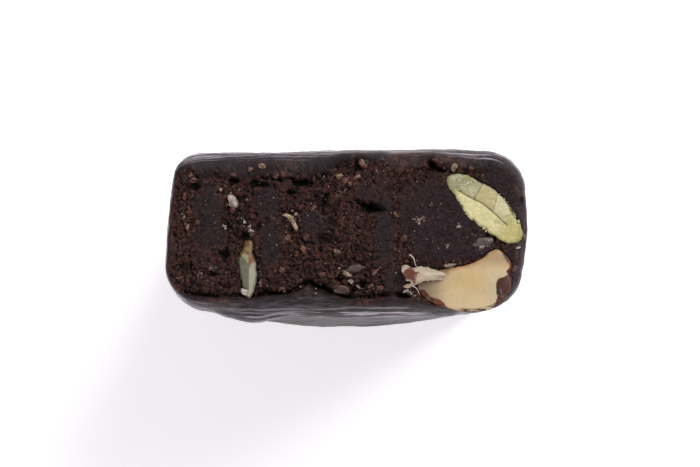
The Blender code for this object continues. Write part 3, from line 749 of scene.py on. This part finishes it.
def nugget(name, outline, core, depth, top, colour, material, slot, node, ragged, teeth=None, belly=0.8):
    """A seed or nut piece: its cut top shaped and coloured point by point, and its round belly."""
    loop, normals = closed_curve(outline, NUGGET_AROUND)
    uneven = ragged * flat_noise(*loop.T, 0.45, 105, 2)
    if teeth is not None:
        uneven = uneven + teeth(*loop.T)
    loop = loop + normals * uneven[:, None]
    start, end = np.array(core)
    along = end - start
    share = np.clip((loop - start) @ along / (along @ along), 0, 1)
    core_spots = start + share[:, None] * along
    rings = []
    for angle in np.linspace(BELLY_START, 0, BELLY_RINGS, endpoint=False):
        flat = core_spots + (loop - core_spots) * math.cos(angle)
        rings.append(over_cut(*flat.T, -depth * math.sin(angle) ** belly))
    rings.append(over_cut(*loop.T, top(*loop.T, np.zeros(NUGGET_AROUND))))
    x, y, away, _ = grid_inside(loop, TOP_SPACING, margin=0.05)
    faces, _ = stacked_faces(rings, x, y)
    below = np.concatenate(rings)
    points = np.concatenate((below, over_cut(x, y, top(x, y, away))))
    tint = np.concatenate((colour(below[:, 0], below[:, 1], np.zeros(len(below))), colour(x, y, away)))
    return add_piece(name, points, faces, (material,), slot, (node,), tint=tint)


def seed_parts(x, y):
    """The seed's share along its length, the distance left of its axis and of its crack."""
    share, left = line_place(x, y, SEED_AXIS)
    crack = left - np.interp(share, *CRACK_LINE) + 0.05 * flat_noise(x, y, 0.5, 101)
    return share, left, crack


def seed_teeth(x, y):
    """The broken steps of the seed's edge: along its lower leaf and along the end of its upper one."""
    share, left, _ = seed_parts(x, y)
    lower = band(0.16, 0.24, 0.66, 0.76, share) * (left < 0)
    upper = band(0.50, 0.58, 0.86, 0.92, share) * (left > 0)
    _, wide_step = lumps(x, y, 0.30, 109)
    _, fine_step = lumps(x, y, 0.16, 110)
    return (0.20 * (wide_step - 0.5) + 0.13 * (fine_step - 0.5)) * (lower + 0.8 * upper)


def seed_top(x, y, away):
    """Two seed leaves parted by a crack; the upper one is broken in plates of unlike height."""
    share, left, crack = seed_parts(x, y)
    within = band(0.12, 0.2, 0.76, 0.82, share)
    upper = rise(-0.05, 0.05, crack) * within
    first_plate = rise(0.35, 0.37, share + 0.02 * left)
    second_plate = rise(0.60, 0.615, share + 0.05 * left)
    branch = bell(share - 0.69 - 0.045 * left, 0, 0.008) * rise(0.3, 0.4, left)
    height = 0.16 - upper * (0.30 - 0.10 * first_plate + 0.05 * second_plate)
    height -= 0.20 * bell(crack, 0, 0.055) * within + 0.22 * branch
    plates, plate_share = lumps(x, y, 0.85, 107)
    grain, grain_share = lumps(x, y, 0.26, 111)
    frosty = upper * fall(0.32, 0.38, share) + fall(0.12, 0.24, share)
    height += 0.05 * (plates - 0.5) * (0.4 + plate_share)
    height += (0.03 + 0.09 * frosty) * (grain - 0.5) * (0.3 + grain_share)
    rough_edge = 0.22 + 0.20 * flat_noise(x, y, 0.30, 113, 2)
    return height - 0.20 * fall(0, rough_edge, away)


def seed_colour(x, y, away):
    """A pale lower leaf, duller plates above the crack, a frosty head and a yellow-green tail, with
    painted shade along the crack and the plate steps.
    """
    share, left, crack = seed_parts(x, y)
    plate = rise(0.35, 0.37, share + 0.02 * left) * rise(0.10, 0.20, crack)
    crumbly = rise(0.60, 0.615, share + 0.05 * left) * (share < 0.74) * (left > 0.3)
    beige = band(0.655, 0.665, 0.765, 0.775, share) * (left < 0.05)
    grain, grain_share = lumps(x, y, 0.26, 111)
    frosty = rise(0.1, 0.3, left) * fall(0.30, 0.40, share)
    frosty = np.maximum(frosty, band(0.14, 0.2, 0.26, 0.32, share))
    frosty = np.maximum(frosty, rise(0.85, 1.1, left) * rise(0.40, 0.50, share) * 0.7)
    rind = fall(0.03, 0.10 + 0.08 * (1 + flat_noise(x, y, 0.3, 119)), away)
    # Painted shade: darker along the crack.
    line = bell(crack, 0, 0.09) * rise(0.12, 0.2, share) * (share < 0.8)
    tint = painted(
        linear((220, 211, 156)),
        ((182, 174, 132), rise(-0.03, 0.05, crack)),
        ((192, 178, 130), plate * (share < 0.66)),
        ((212, 202, 158), crumbly * 0.9),
        ((200, 188, 124), rise(0.70, 0.82, share)),
        ((198, 186, 136), beige * (left > -0.62 + 6 * (share - 0.655))),
        ((158, 153, 112), fall(0.14, 0.26, share - 0.06 * left)),
        ((168, 158, 88), rise(0.88, 1.0, share + 0.05 * left) * 0.8),
        ((206, 204, 182), frosty * (grain_share > 0.6) * 0.40),
        ((104, 96, 58), rind * np.where(left < 0, 0.25, 0.45)),
        ((128, 120, 70), 0.55 * line),
    )
    # Painted shade: a darker line along each plate step.
    for place in (0.36 - 0.02 * left, 0.607 - 0.05 * left):
        edge = bell(share, place, 0.007) * rise(0.10, 0.25, crack)
        tint = painted(tint, ((132, 124, 82), 0.7 * edge))
    _, plate_share = lumps(x, y, 0.85, 107)
    return tint * (0.94 + 0.07 * plate_share + (0.03 + 0.12 * frosty) * grain)[:, None]


def seed_flakes(count=44):
    """Pale chips along the seed's broken edges and its crack."""
    draw = np.random.default_rng(SEED + 3)
    loop, _ = closed_curve(SEED_OUTLINE, 600)
    share, left, _ = seed_parts(*loop.T)
    lower, upper = (left < 0) & (share > 0.14) & (share < 0.74), (left > 0) & (share > 0.5) & (share < 0.9)
    torn = loop[lower | upper]
    rim = torn[draw.integers(0, len(torn), count)] + draw.normal(0, 0.06, (count, 2))
    start, end = np.array(SEED_AXIS)
    length = np.linalg.norm(end - start)
    unit = (end - start) / length
    across = np.array((-unit[1], unit[0]))
    at = draw.uniform(0.25, 0.78, count // 3)
    beside = np.interp(at, *CRACK_LINE)
    beside = beside + draw.choice((-0.12, 0.12), len(at)) + draw.normal(0, 0.04, len(at))
    broken = np.column_stack((draw.normal(0.60, 0.012, count // 5), draw.uniform(0.45, 1.35, count // 5)))
    inner = np.concatenate((np.column_stack((at, beside)), broken))
    x, y = np.concatenate((rim, start + inner[:, :1] * length * unit + inner[:, 1:] * across)).T
    size = 0.04 + 0.10 * draw.uniform(0, 1, len(x)) ** 3
    level = seed_top(x, y, np.full(len(x), 0.2)) - 0.06

    def colours(share):
        return mixed(linear((216, 208, 168)), linear((188, 180, 120)), share)

    return scatter("seed_chips", draw, x, y, level, size, (0.5, 1.6), colours,
                   waxy_material("chip_pale", 0.50, 0.1, 0.0), "seed", 183, 1)


def nut_top(x, y, away):
    """A smooth cut, a little crowned, that rounds off at its edge."""
    _, left = line_place(x, y, NUT_CORE)
    crown = 0.16 * bell(left, 0, 1.6) + 0.05 * flat_noise(x, y, 2.0, 131)
    height = crown + 0.012 * flat_noise(x, y, 0.2, 133) - 0.14 * fall(0, 0.30, away)
    pressed = pressed_share(x, y)
    return height * (1 - pressed) - PRESSED * pressed


def nut_colour(x, y, away):
    """Cream, golden in the middle and greyer at the thin end, with scraps of brown skin and dark film
    streaked with painted highlight.
    """
    glow = bell(x, 12.2, 1.8) * bell(y, -4.3, 1.2)
    rim = fall(0.05, 0.45, away + 0.12 * flat_noise(x, y, 0.8, 135))
    right_skin = 0.70 * rise(14.6, 15.2, x) * band(-7.2, -6.6, -4.4, -4.0, y)
    upper_skin = 0.30 * rise(15.3, 15.9, x) * rise(-4.2, -3.6, y)
    front_skin = 0.36 * (y < -5.4) * fall(9.2, 10.6, x)
    width = np.maximum.reduce((right_skin, upper_skin, front_skin))
    width = 0.03 + width * (1 + 1.1 * flat_noise(x, y, 0.6, 137, 4))
    skin = fall(width * 0.85, width * 1.15 + 0.02, away)
    dark = rise(-0.35, 0.30, flat_noise(x, y, 0.5, 145, 3))
    film = fall(0.24, 0.44, away) * rise(10.8, 12.0, x) * (y < -6.0)
    streaks = flat_noise(x, y, (0.9, 0.10, 1), 147, 3)
    tint = painted(
        linear((134, 114, 94)),
        ((216, 191, 150), rise(7.6, 10.8, x)),
        ((202, 170, 112), 0.6 * glow),
        ((178, 150, 114), rise(-3.8, -2.2, y) * 0.9),
        ((210, 190, 155), rise(13.2, 14.6, x) * (y < -3.5) * 0.8),
        ((176, 130, 86), 0.75 * rim * (y > -4.6)),
    )
    tint = painted(
        mixed(tint, painted(linear((112, 56, 36)), ((60, 34, 29), dark)), skin),
        ((74, 52, 46), film * rise(-0.10, 0.12, streaks)),
        # Painted highlight: pale streaks on the dark film.
        ((212, 198, 186), 0.8 * film * rise(0.12, 0.34, -streaks)),
    )
    fibres = flat_noise(x + 0.25 * y, y, (0.16, 1.8, 1), 139, 3)
    clouds = flat_noise(x, y, 1.1, 141, 2)
    return tint * (1 + 0.045 * fibres * (1 - skin) + 0.05 * clouds)[:, None]


def sliver_top(x, y, away):
    """A rounded head, then two facets that meet in a ridge, and a chipped tip."""
    share, left = line_place(x, y, SLIVER_AXIS)
    ridge = 0.34 * (1 - np.minimum(abs(left - 0.02) / 0.85, 1))
    head = fall(0.22, 0.3, share)
    plate = rise(0.22, 0.25, share) * fall(0.42, 0.46, share - 0.2 * left)
    height = -0.28 + ridge * (1 - 0.7 * head) + 0.08 * plate * (left < 0.05)
    height += 0.05 * flat_noise(x, y, 0.5, 141) * (share < 0.45)
    return height - 0.25 * fall(0, 0.25, away) - 0.20 * rise(0.86, 1, share)


def sliver_colour(x, y, away):
    """Two grey-green facets, an olive head flecked with brown, and a brown tip."""
    share, left = line_place(x, y, SLIVER_AXIS)
    head = fall(0.24, 0.30, share)
    flecks = rise(0.0, 0.5, flat_noise(x, y, 0.35, 147, 3))
    brown = rise(0.24, 0.28, share) * fall(0.42, 0.50, share + 0.15 * left)
    pale = rise(0.24, 0.27, share) * fall(0.38, 0.45, share - 0.2 * left)
    tint = painted(
        linear((112, 111, 92)),
        ((162, 158, 136), rise(-0.04, 0.04, left)),
        ((140, 116, 78), head),
        ((78, 52, 36), head * flecks * 0.8),
        ((124, 72, 40), brown * (left > -0.05) * 0.9),
        ((160, 156, 116), pale * (left < -0.05)),
        ((176, 164, 134), ((share > 0.84) & (share < 0.93)) * 0.5),
        ((118, 80, 46), rise(0.92, 0.95, share)),
        ((110, 92, 52), fall(0.02, 0.12, away) * 0.6),
    )
    return tint * (1 + 0.10 * flat_noise(x, y, 0.3, 143))[:, None]


def flake_piece():
    """The thin, curled flake over the nut's end."""
    count = 220
    loop, normals = closed_curve(FLAKE_OUTLINE, count)
    torn = 0.12 * flat_noise(*loop.T, 0.30, 151, 3)
    loop = loop + normals * torn[:, None]
    inner_x, inner_y, away, _ = grid_inside(loop, FLAKE_SPACING, margin=0.05)
    x, y = np.concatenate((loop.T, (inner_x, inner_y)), axis=1)
    share, left = line_place(x, y, FLAKE_AXIS)
    edge = np.concatenate((np.zeros(count), away))
    curl = 0.10 * (left**2 + 1 + np.sin(share * 6 + left)) - 0.10
    ribs = flat_noise(x, y, (1.6, 0.32, 1), 153, 3)
    low = 0.06 + curl
    high = low + 0.10 + 0.14 * rise(0, 0.25, edge) + 0.10 * ribs
    points = np.concatenate((over_cut(x, y, low), over_cut(x, y, high)))
    above = len(x)
    faces = cap_faces(loop, inner_x, inner_y, above, above + count)
    faces += [face[::-1] for face in cap_faces(loop, inner_x, inner_y, 0, count)]
    faces += bridge(0, above, count)
    patch = np.hypot((x - 6.35) / 0.55, (y + 4.0) / 0.70) + 1.2 * flat_noise(x, y, 0.45, 157)
    tint = painted(
        linear((166, 144, 122)),
        ((206, 188, 166), 0.5 + 0.9 * ribs + 0.2 * (share - 0.5)),
        ((104, 50, 30), fall(0.70, 1.05, patch)),
    )
    return add_piece("nut_flake_fine", points, faces, (waxy_material("flake_white", 0.55, 0.1, 0.02),),
                     "flake", ("nut_flake",), tint=np.concatenate((tint, tint)))


def lump_mesh(detail):
    """The points and triangles of a unit ball."""
    made = bmesh.new()
    bmesh.ops.create_icosphere(made, subdivisions=detail, radius=1)
    made.verts.ensure_lookup_table()
    points = np.array([vertex.co[:] for vertex in made.verts])
    faces = np.array([[vertex.index for vertex in face.verts] for face in made.faces])
    made.free()
    return points, faces


def lump_field(name, spots, sizes, turns, tints, material, slot, seed, detail, angular=False,
               ragged=0.65, dusty=0.0):
    """Many uneven lumps joined in one mesh: a place, three half sizes, a turn and a colour for each."""
    ball, ball_faces = lump_mesh(detail)
    points, faces, colours = [], [], []
    for index, (spot, size, turn, tint) in enumerate(zip(spots, sizes, turns, tints)):
        uneven = 1 + ragged * noise(ball + index * 7.7, 0.75, seed, 4)
        shape = ball * uneven[:, None] * size
        cos, sin = math.cos(turn), math.sin(turn)
        turned = np.column_stack((shape[:, 0] * cos - shape[:, 1] * sin,
                                  shape[:, 0] * sin + shape[:, 1] * cos, shape[:, 2]))
        faces.append(ball_faces + index * len(ball))
        points.append(turned + spot)
        uneven_tint = tint * (1 + 0.35 * noise(ball + index * 3.1, 0.9, seed + 9, 2))[:, None]
        cocoa = rise(0.0, 0.5, noise(ball + index * 5.3, 0.8, seed + 17, 3))
        cocoa = np.clip(cocoa + fall(-0.6, 0.0, ball[:, 2]), 0, 1)
        colours.append(mixed(uneven_tint, COCOA, dusty * cocoa))
    piece = add_piece(name, np.concatenate(points), np.concatenate(faces).tolist(), (material,), slot,
                      tint=np.concatenate(colours))
    if angular:
        piece.data.shade_flat()
    return piece


def scatter(name, draw, x, y, level, size, stretch, colours, *looks, angular=True):
    """A field of lumps over the cut, each one stretched, coloured and turned at random."""
    sizes = size[:, None] * draw.uniform(*stretch, (len(x), 3))
    tints = colours(draw.uniform(0, 1, len(x)))
    turns = draw.uniform(0, FULL_TURN, len(x))
    return lump_field(name, over_cut(x, y, level), sizes, turns, tints, *looks, angular)


def on_cut(x, y, clearance):
    """Which places lie on the bare dough of the cut, this far inside its rolled edge."""
    loop, normals = rounded_outline(CUT_CORNERS, AROUND)
    reach, _ = shoulder(loop, normals)
    return inside(x, y, loop - normals * (reach + clearance)[:, None])


def covered(x, y):
    """How far inside the nearest seed or nut piece each place is; negative on the dough."""
    return np.maximum.reduce([
        depth_inside(x, y, outline)
        for outline in (SEED_OUTLINE, NUT_OUTLINE, SLIVER_OUTLINE, FLAKE_OUTLINE)
    ])


def named_bits():
    """The tan, white and glassy bits that the cut shows one by one, and the small crumbs round them."""
    table = np.array([row[:6] for row in BITS])
    spots = over_cut(table[:, 0], table[:, 1], -0.05)
    tints = np.array([linear(row[6]) for row in BITS])
    draw = np.random.default_rng(SEED + 4)
    owner = np.repeat(np.arange(len(BITS)), BIT_CRUMBS)
    aside = draw.normal(0, 0.75, (len(owner), 2)) * table[owner, 2:3]
    x, y = (spots[owner, :2] + (aside + draw.normal(0, 0.10, (len(owner), 2)))).T
    kept = on_cut(x, y, 0.1) & (covered(x, y) < -0.05)
    owner, x, y = owner[kept], x[kept], y[kept]
    crumb_spots = over_cut(x, y, cut_relief(x, y)[0] + 0.04)
    crumb_sizes = draw.uniform(0.05, 0.13, (len(owner), 3))
    crumb_tints = mixed(tints[owner], linear((84, 50, 40)), draw.uniform(0.25, 1.0, len(owner)))
    crumb_turns = draw.uniform(0, FULL_TURN, len(owner))
    return lump_field("nut_bits", np.concatenate((spots, crumb_spots)),
                      np.concatenate((table[:, 2:5], crumb_sizes)),
                      np.concatenate((np.radians(table[:, 5]), crumb_turns)),
                      np.concatenate((tints, crumb_tints)),
                      waxy_material("bit_waxy", 0.42, 0.15, 0.03), "flake", 163, 3, ragged=0.95,
                      dusty=0.75)


def loose_crumbs(count=620):
    """Red-brown crumbs that stand on the torn parts of the cut, from coarse to fine."""
    draw = np.random.default_rng(SEED + 1)
    x = draw.uniform(-17.4, 17.4, count * 4)
    y = draw.uniform(-6.6, 7.4, count * 4)
    border = draw.uniform(-14.5, 10.0, count // 4)
    at_border = BACK_EDGE - along_x(border, BACK_REACH) + draw.normal(-0.05, 0.28, len(border))
    x, y = np.concatenate((border, x)), np.concatenate((at_border, y))
    level, smeared, _ = cut_relief(x, y)
    kept = on_cut(x, y, 0.4)
    kept[:len(border)] = True
    kept &= (covered(x, y) < -0.15) & (draw.uniform(0, 1, len(x)) > 0.15 + 0.8 * smeared) & (level > -0.5)
    x, y, level = x[kept][:count], y[kept][:count], level[kept][:count]
    size = 0.075 + 0.22 * draw.uniform(0, 1, len(x)) ** 3

    def colours(pick):
        return painted(mixed(linear((42, 26, 23)), linear((78, 41, 32)), rise(0.2, 0.9, pick)),
                       ((112, 74, 56), rise(0.93, 0.97, pick)))

    return scatter("dough_crumbs", draw, x, y, level + size * 0.1, size, (0.6, 1.5), colours,
                   waxy_material("crumb_brown", 0.50, 0.0, 0.04, specular=0.3), "dough", 173, 1)


def sugar_and_painted_glints(count=260):
    """Tiny pale specks scattered on the cut, thickest above the seed splinter: sugar crystals, and painted
    glints of highlight.
    """
    draw = np.random.default_rng(SEED + 2)
    near = count // 8
    at = draw.uniform(0, 1, near)
    rest = count - near
    x = np.concatenate((-10.25 + 0.75 * at + draw.normal(0, 0.18, near), draw.uniform(-17, 15, rest)))
    y = np.concatenate((1.60 - 1.30 * at + draw.normal(0, 0.18, near), draw.uniform(-6, 6.5, rest)))
    bare = covered(x, y) < -0.1
    x, y = x[bare], y[bare]
    size = 0.028 + 0.05 * draw.uniform(0, 1, len(x)) ** 3
    size = size * (1 + 0.8 * (np.hypot(x + 9.9, y - 0.95) < 0.9))

    def colours(share):
        return mixed(linear((214, 206, 202)), linear((160, 124, 92)), share**2)

    return scatter("sugar_specks_and_painted_glints", draw, x, y, cut_relief(x, y)[0] + size * 0.5, size, (0.7, 1.3),
                   colours, waxy_material("sugar_and_glint_pale", 0.25, 0.1, 0.0), "flake", 179, 1, angular=False)


def fibre(name, radius, path):
    """A fine pale fibre along a few bends, given by x, y and the height over the cut, that thins out."""
    curve = bpy.data.curves.new(name, "CURVE")
    curve.dimensions = "3D"
    curve.bevel_depth = radius * MM
    curve.bevel_resolution = 2
    curve.use_fill_caps = True
    spline = curve.splines.new("NURBS")
    spline.points.add(len(path) - 1)
    spline.use_endpoint_u = True
    spline.order_u = 3
    for index, (point, (x, y, height)) in enumerate(zip(spline.points, path)):
        point.co = (x * MM, y * MM, (LEVEL + height) * MM, 1)
        point.radius = 1 - 0.6 * index / (len(path) - 1)
    curve.materials.append(fibre_material())
    piece = placed(name, curve)
    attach(piece, "root")
    return piece


class Look:
    """The node tree of a material or of the room, with makers for the nodes that feed its shader.

    Each noise's and grain's scale is how many of its waves or cells there are in a metre.
    """

    def __init__(self, owner, shader="Principled BSDF", place="Object"):
        owner.use_nodes = True
        self.owner, self.tree = owner, owner.node_tree
        self.shader = self.tree.nodes[shader]
        self.place = self.add("ShaderNodeTexCoord").outputs[place]

    def feed(self, node, inputs):
        """Give each input its value: a number, a colour, a vector or a socket."""
        for key, value in inputs.items():
            socket = node.inputs[key]
            if isinstance(value, bpy.types.NodeSocket):
                self.tree.links.new(value, socket)
            else:
                socket.default_value = (*value, 1) if socket.type == "RGBA" else value

    def add(self, kind, inputs=None, **settings):
        made = self.tree.nodes.new(kind)
        for key, value in settings.items():
            setattr(made, key, value)
        self.feed(made, inputs or {})
        return made

    def finished(self, inputs):
        """The material or room, once its shader has its inputs."""
        self.feed(self.shader, inputs)
        return self.owner

    def point_value(self, name, output="Fac"):
        return self.add("ShaderNodeAttribute", attribute_name=name).outputs[output]

    def noise(self, scale, detail, roughness=0.6, place=None):
        inputs = {"Vector": place or self.place, "Scale": scale, "Detail": detail, "Roughness": roughness}
        return self.add("ShaderNodeTexNoise", inputs).outputs["Fac"]

    def ramp(self, value, low, high, low_out=0.0, high_out=1.0):
        inputs = {"Value": value, "From Min": low, "From Max": high, "To Min": low_out, "To Max": high_out}
        return self.add("ShaderNodeMapRange", inputs).outputs["Result"]

    def mix(self, share, first, second):
        """A colour mixed from two, each a colour or a socket."""
        inputs = {"Factor": share, MIX_FIRST: first, MIX_SECOND: second}
        return self.add("ShaderNodeMix", inputs, data_type="RGBA").outputs[MIX_RESULT]

    def coats(self, colour, *layers):
        """A colour with others mixed over it, each by its share."""
        for share, over in layers:
            colour = self.mix(share, colour, over)
        return colour

    def product(self, first, *factors):
        for factor in factors:
            first = self.add("ShaderNodeMath", {0: first, 1: factor}, operation="MULTIPLY").outputs[0]
        return first

    def vector(self, operation, *terms):
        return self.add("ShaderNodeVectorMath", dict(enumerate(terms)), operation=operation).outputs[0]

    def bump(self, height, strength, distance, normal=None):
        """A normal bent by a height; the distance is in mm."""
        inputs = {"Height": height, "Strength": strength, "Distance": distance * MM}
        if normal is not None:
            inputs["Normal"] = normal
        return self.add("ShaderNodeBump", inputs).outputs["Normal"]

    def grains(self, scale):
        """Fine angular grains: each grain's random share, and how near its border a place is."""
        bend = self.add("ShaderNodeTexNoise", {"Vector": self.place, "Scale": scale * 1.2})
        moved = self.vector("MULTIPLY_ADD", bend.outputs["Color"], (0.7 / scale,) * 3, self.place)
        cells = self.add("ShaderNodeTexVoronoi", {"Vector": moved, "Scale": scale})
        split = self.add("ShaderNodeSeparateColor", {0: cells.outputs["Color"]})
        return split.outputs["Red"], cells.outputs["Distance"]

    def streaks(self, down, along, across):
        """Fine lines drawn round the bar: noise that is long along the skin and short down it."""
        around = self.vector("MULTIPLY", self.place, (along, along, 0))
        upright = self.add("ShaderNodeCombineXYZ", {"Z": self.product(down, across)}).outputs[0]
        return self.noise(1.0, 4, 0.65, self.vector("ADD", around, upright))


def cut_material():
    """The cut: dull purple-brown smears, and red-brown crumbs with dark gaps of painted shade, also
    painted into deep places and the crease.
    """
    look = Look(bpy.data.materials.new("cocoa_cut"))
    smear, lift, ruddy = (look.point_value(name) for name in ("smear", "lift", "ruddy"))
    share, border = look.grains(3300)
    fine_share, fine_border = look.grains(6200)
    # Near-black painted shade for the gaps between crumbs and for deep places.
    gap = (0.004, 0.002, 0.002)
    red = look.mix(look.ramp(ruddy, 0.35, 0.80), (0.052, 0.020, 0.015), (0.084, 0.028, 0.019))
    grains = look.coats(
        (0.056, 0.026, 0.023),
        (look.ramp(share, 0.45, 0.80), red),
        (look.ramp(fine_share, 0.55, 1.0, 0, 0.35), (0.094, 0.044, 0.032)),
        (look.ramp(share, 0.16, 0.10), (0.008, 0.004, 0.003)),
        # Painted shade at the crumbs' borders.
        (look.ramp(border, 0.45, 0.80, 0, 0.65), gap),
    )
    # Painted shade: deep places and the crease darken toward near-black.
    grains = look.mix(look.ramp(lift, -0.50, -0.08), gap, grains)
    smooth = look.coats(
        (0.012, 0.0068, 0.0080),
        (look.ramp(fine_share, 0.2, 0.8), (0.032, 0.0175, 0.0205)),
        (look.ramp(border, 0.5, 0.8, 0, 0.5), (0.006, 0.003, 0.003)),
    )
    coarse_bump = look.bump(look.product(border, look.ramp(smear, 0, 1, -1.0, -0.45)), 0.8, 0.16)
    return look.finished({
        "Base Color": look.mix(smear, grains, smooth),
        "Roughness": look.ramp(fine_share, 0, 1, 0.45, 0.80),
        "Specular IOR Level": 0.12,
        "Normal": look.bump(fine_border, 0.6, 0.05, coarse_bump),
    })


def skin_material():
    """The pressed skin: mottled dark brown, with painted gloss streaks where it turns down, and a painted
    sheen and painted blue-grey highlight dashes near the cut.
    """
    look = Look(bpy.data.materials.new("cocoa_skin"))
    ruddy, down, upright, drawn, painted_gloss = (
        look.point_value(name) for name in ("ruddy", "down", "upright", "drawn", "painted_gloss")
    )
    share, border = look.grains(3000)
    layers = look.noise(1.0, 5, 0.65, look.vector("MULTIPLY", look.place, (260, 260, 1900)))
    near_cut = look.ramp(down, 0.20, 0.80, 1.0, 0.0)
    layered = look.product(look.ramp(layers, 0.42, 0.66, 0.0, 0.80),
                           look.ramp(look.noise(240, 3), 0.38, 0.62, 0.25, 1.0))
    spots = look.product(look.ramp(ruddy, 0.45, 0.80), look.ramp(share, 0.35, 0.65))
    # Painted highlight: blue-grey dashes on the lip, also carved in by a bump.
    painted_highlight_dashes = look.product(look.ramp(look.streaks(down, 620, 7.5), 0.46, 0.62), drawn,
                          look.ramp(upright, 0.1, 0.5), near_cut)
    # Painted sheen: a pale grey wash painted on the walls near the cut.
    painted_sheen = look.product(look.ramp(upright, 0.30, 1.0, 0, 0.20), near_cut)
    # Painted highlight: pale gloss streaks painted into the colour where the skin turns down the sides.
    painted_gloss_reach = look.product(look.ramp(look.product(upright, painted_gloss), 0.58, 1.00),
                           look.ramp(down, 0.08, 0.42, 1.0, 0.0))
    painted_gloss_streaks = look.product(look.ramp(look.streaks(down, 110, 6.5), 0.50, 0.56), painted_gloss_reach)

    mottled = look.mix(look.ramp(look.noise(1100, 5, 0.7), 0.36, 0.66),
                       (0.008, 0.0036, 0.0043), (0.025, 0.0125, 0.0138))
    colour = look.coats(
        look.mix(layered, mottled, (0.052, 0.031, 0.030)),
        (near_cut, mottled),
        (spots, (0.062, 0.025, 0.018)),
        (painted_highlight_dashes, (0.074, 0.067, 0.082)),
        (painted_sheen, (0.118, 0.095, 0.106)),
        (painted_gloss_streaks, (0.46, 0.405, 0.45)),
    )
    carved = look.bump(painted_highlight_dashes, 0.7, 0.10)
    pressed = look.bump(look.product(layers, upright), 0.6, 0.16, carved)
    grain_height = look.product(border, look.ramp(upright, 0.6, 1.0, -1.0, -0.5))
    return look.finished({
        "Base Color": colour,
        "Roughness": look.product(look.ramp(upright, 0.3, 0.9, 0.50, 0.33),
                                  look.ramp(down, 0.3, 2.0, 1.0, 1.15)),
        "Specular IOR Level": 0.17,
        "Normal": look.bump(grain_height, 0.6, 0.07, pressed),
    })


def waxy_material(name, roughness, subsurface, bump_height, mottle=0.16, specular=0.5):
    """A seed, nut or crumb: its point colours, mottled a little, waxy and faintly see-through."""
    look = Look(bpy.data.materials.new(name))
    fine = look.noise(4200, 4)
    shade = look.ramp(fine, 0.3, 0.7, 1 - mottle, 1 + mottle)
    tint = look.add("ShaderNodeVectorMath", {0: look.point_value("tint", "Color"), "Scale": shade},
                    operation="SCALE")
    return look.finished({
        "Base Color": tint.outputs[0],
        "Roughness": look.ramp(fine, 0.3, 0.7, roughness - 0.08, roughness + 0.10),
        "Specular IOR Level": specular,
        "Subsurface Weight": subsurface,
        "Subsurface Radius": (1.0, 0.7, 0.4),
        "Subsurface Scale": 0.6 * MM,
        "Normal": look.bump(look.noise(6500, 3), 0.5, bump_height),
    })


def fibre_material():
    """Off-white, mottled along the fibre."""
    look = Look(bpy.data.materials.new("fibre_white"))
    pale = linear((226, 216, 204))
    return look.finished({"Base Color": look.mix(look.noise(3000, 2), pale * 0.8, pale), "Roughness": 0.6})


def studio():
    """A white table, a key softbox at the back right, a weaker one at the front left, and a room."""
    mesh = bpy.data.meshes.new("table_top")
    half = 3.0
    corners = [(-half, -half, 0), (half, -half, 0), (half, half, 0), (-half, half, 0)]
    mesh.from_pydata(corners, [], [(0, 1, 2, 3)])
    look = Look(bpy.data.materials.new("white_table"))
    mesh.materials.append(look.finished({
        "Base Color": look.mix(look.noise(30, 2), (0.90, 0.88, 0.91), (0.92, 0.90, 0.93)),
        "Roughness": 0.9,
        "Specular IOR Level": 0.1,
        "Emission Color": (0.98, 0.95, 1.0),
        "Emission Strength": 0.44,
    }))
    table = placed("table_top", mesh)

    target = Vector((0.0, 0.0, CUT))
    for name, place, size, power in (
        ("key_softbox", (0.44, 0.48, 0.64), 0.55, 8.2),
        ("fill_softbox", (-0.48, -0.42, 0.50), 0.45, 3.8),
    ):
        light = bpy.data.lights.new(name, "AREA")
        light.shape = "SQUARE"
        light.size = size
        light.energy = power
        lamp = placed(name, light)
        lamp.location = place
        lamp.rotation_euler = (target - Vector(place)).to_track_quat("-Z", "Y").to_euler()

    bpy.context.scene.world = pale_room()
    bpy.context.scene.view_settings.view_transform = "Standard"
    bpy.context.scene.view_settings.look = "None"


def pale_room():
    """A room with bright walls and a dim ceiling, so that what faces up has little sheen."""
    look = Look(bpy.data.worlds.new("pale_room"), "Background", "Generated")
    height = look.add("ShaderNodeSeparateXYZ", {0: look.place}).outputs["Z"]
    return look.finished({"Color": (1.0, 0.97, 1.0), "Strength": look.ramp(height, 0.0, 0.5, 0.90, 0.10)})


def camera():
    """The photo's view: straight down on the cut, tilted a little so that the front wall shows."""
    width_seen, sensor, distance = 70.0 * MM, 36.0, 350.0 * MM
    tilt = math.radians(3.9)
    target = Vector((0.35 * MM, 0.20 * MM, CUT))
    data = bpy.data.cameras.new("photo_view")
    data.sensor_width = sensor
    data.lens = sensor * distance / width_seen
    data.clip_start = 0.01
    eye = placed("photo_view", data)
    eye.location = target + distance * Vector((0, -math.sin(tilt), math.cos(tilt)))
    eye.rotation_euler = (tilt, 0, 0)
    bpy.context.scene.camera = eye


def main():
    dough()
    nugget("pumpkin_seed_fine", SEED_OUTLINE, SEED_CORE, SEED_DEPTH, seed_top, seed_colour,
           waxy_material("seed_green", 0.50, 0.15, 0.04, 0.14), "seed", "pumpkin_seed", 0.10, seed_teeth)
    nugget("nut_fine", NUT_OUTLINE, NUT_CORE, NUT_DEPTH, nut_top, nut_colour,
           waxy_material("nut_cream", 0.42, 0.25, 0.01, 0.035, 0.30), "nut", "nut", 0.05, belly=1.6)
    nugget("seed_sliver_fine", SLIVER_OUTLINE, SLIVER_CORE, SLIVER_DEPTH, sliver_top, sliver_colour,
           waxy_material("sliver_green", 0.38, 0.15, 0.02, 0.10), "sliver", "seed_sliver", 0.07)
    flake_piece()
    seed_flakes()
    named_bits()
    loose_crumbs()
    sugar_and_painted_glints()
    fibre("fibre_back", 0.055, ((6.30, -1.95, 0.30), (6.60, -2.12, 0.42), (6.78, -2.45, 0.42),
                                (6.82, -2.80, 0.38), (6.98, -3.15, 0.34)))
    fibre("fibre_front", 0.045, ((6.55, -5.05, 0.30), (6.95, -5.25, 0.40), (7.15, -5.50, 0.36),
                                 (7.30, -5.95, 0.20)))
    studio()
    camera()


main()
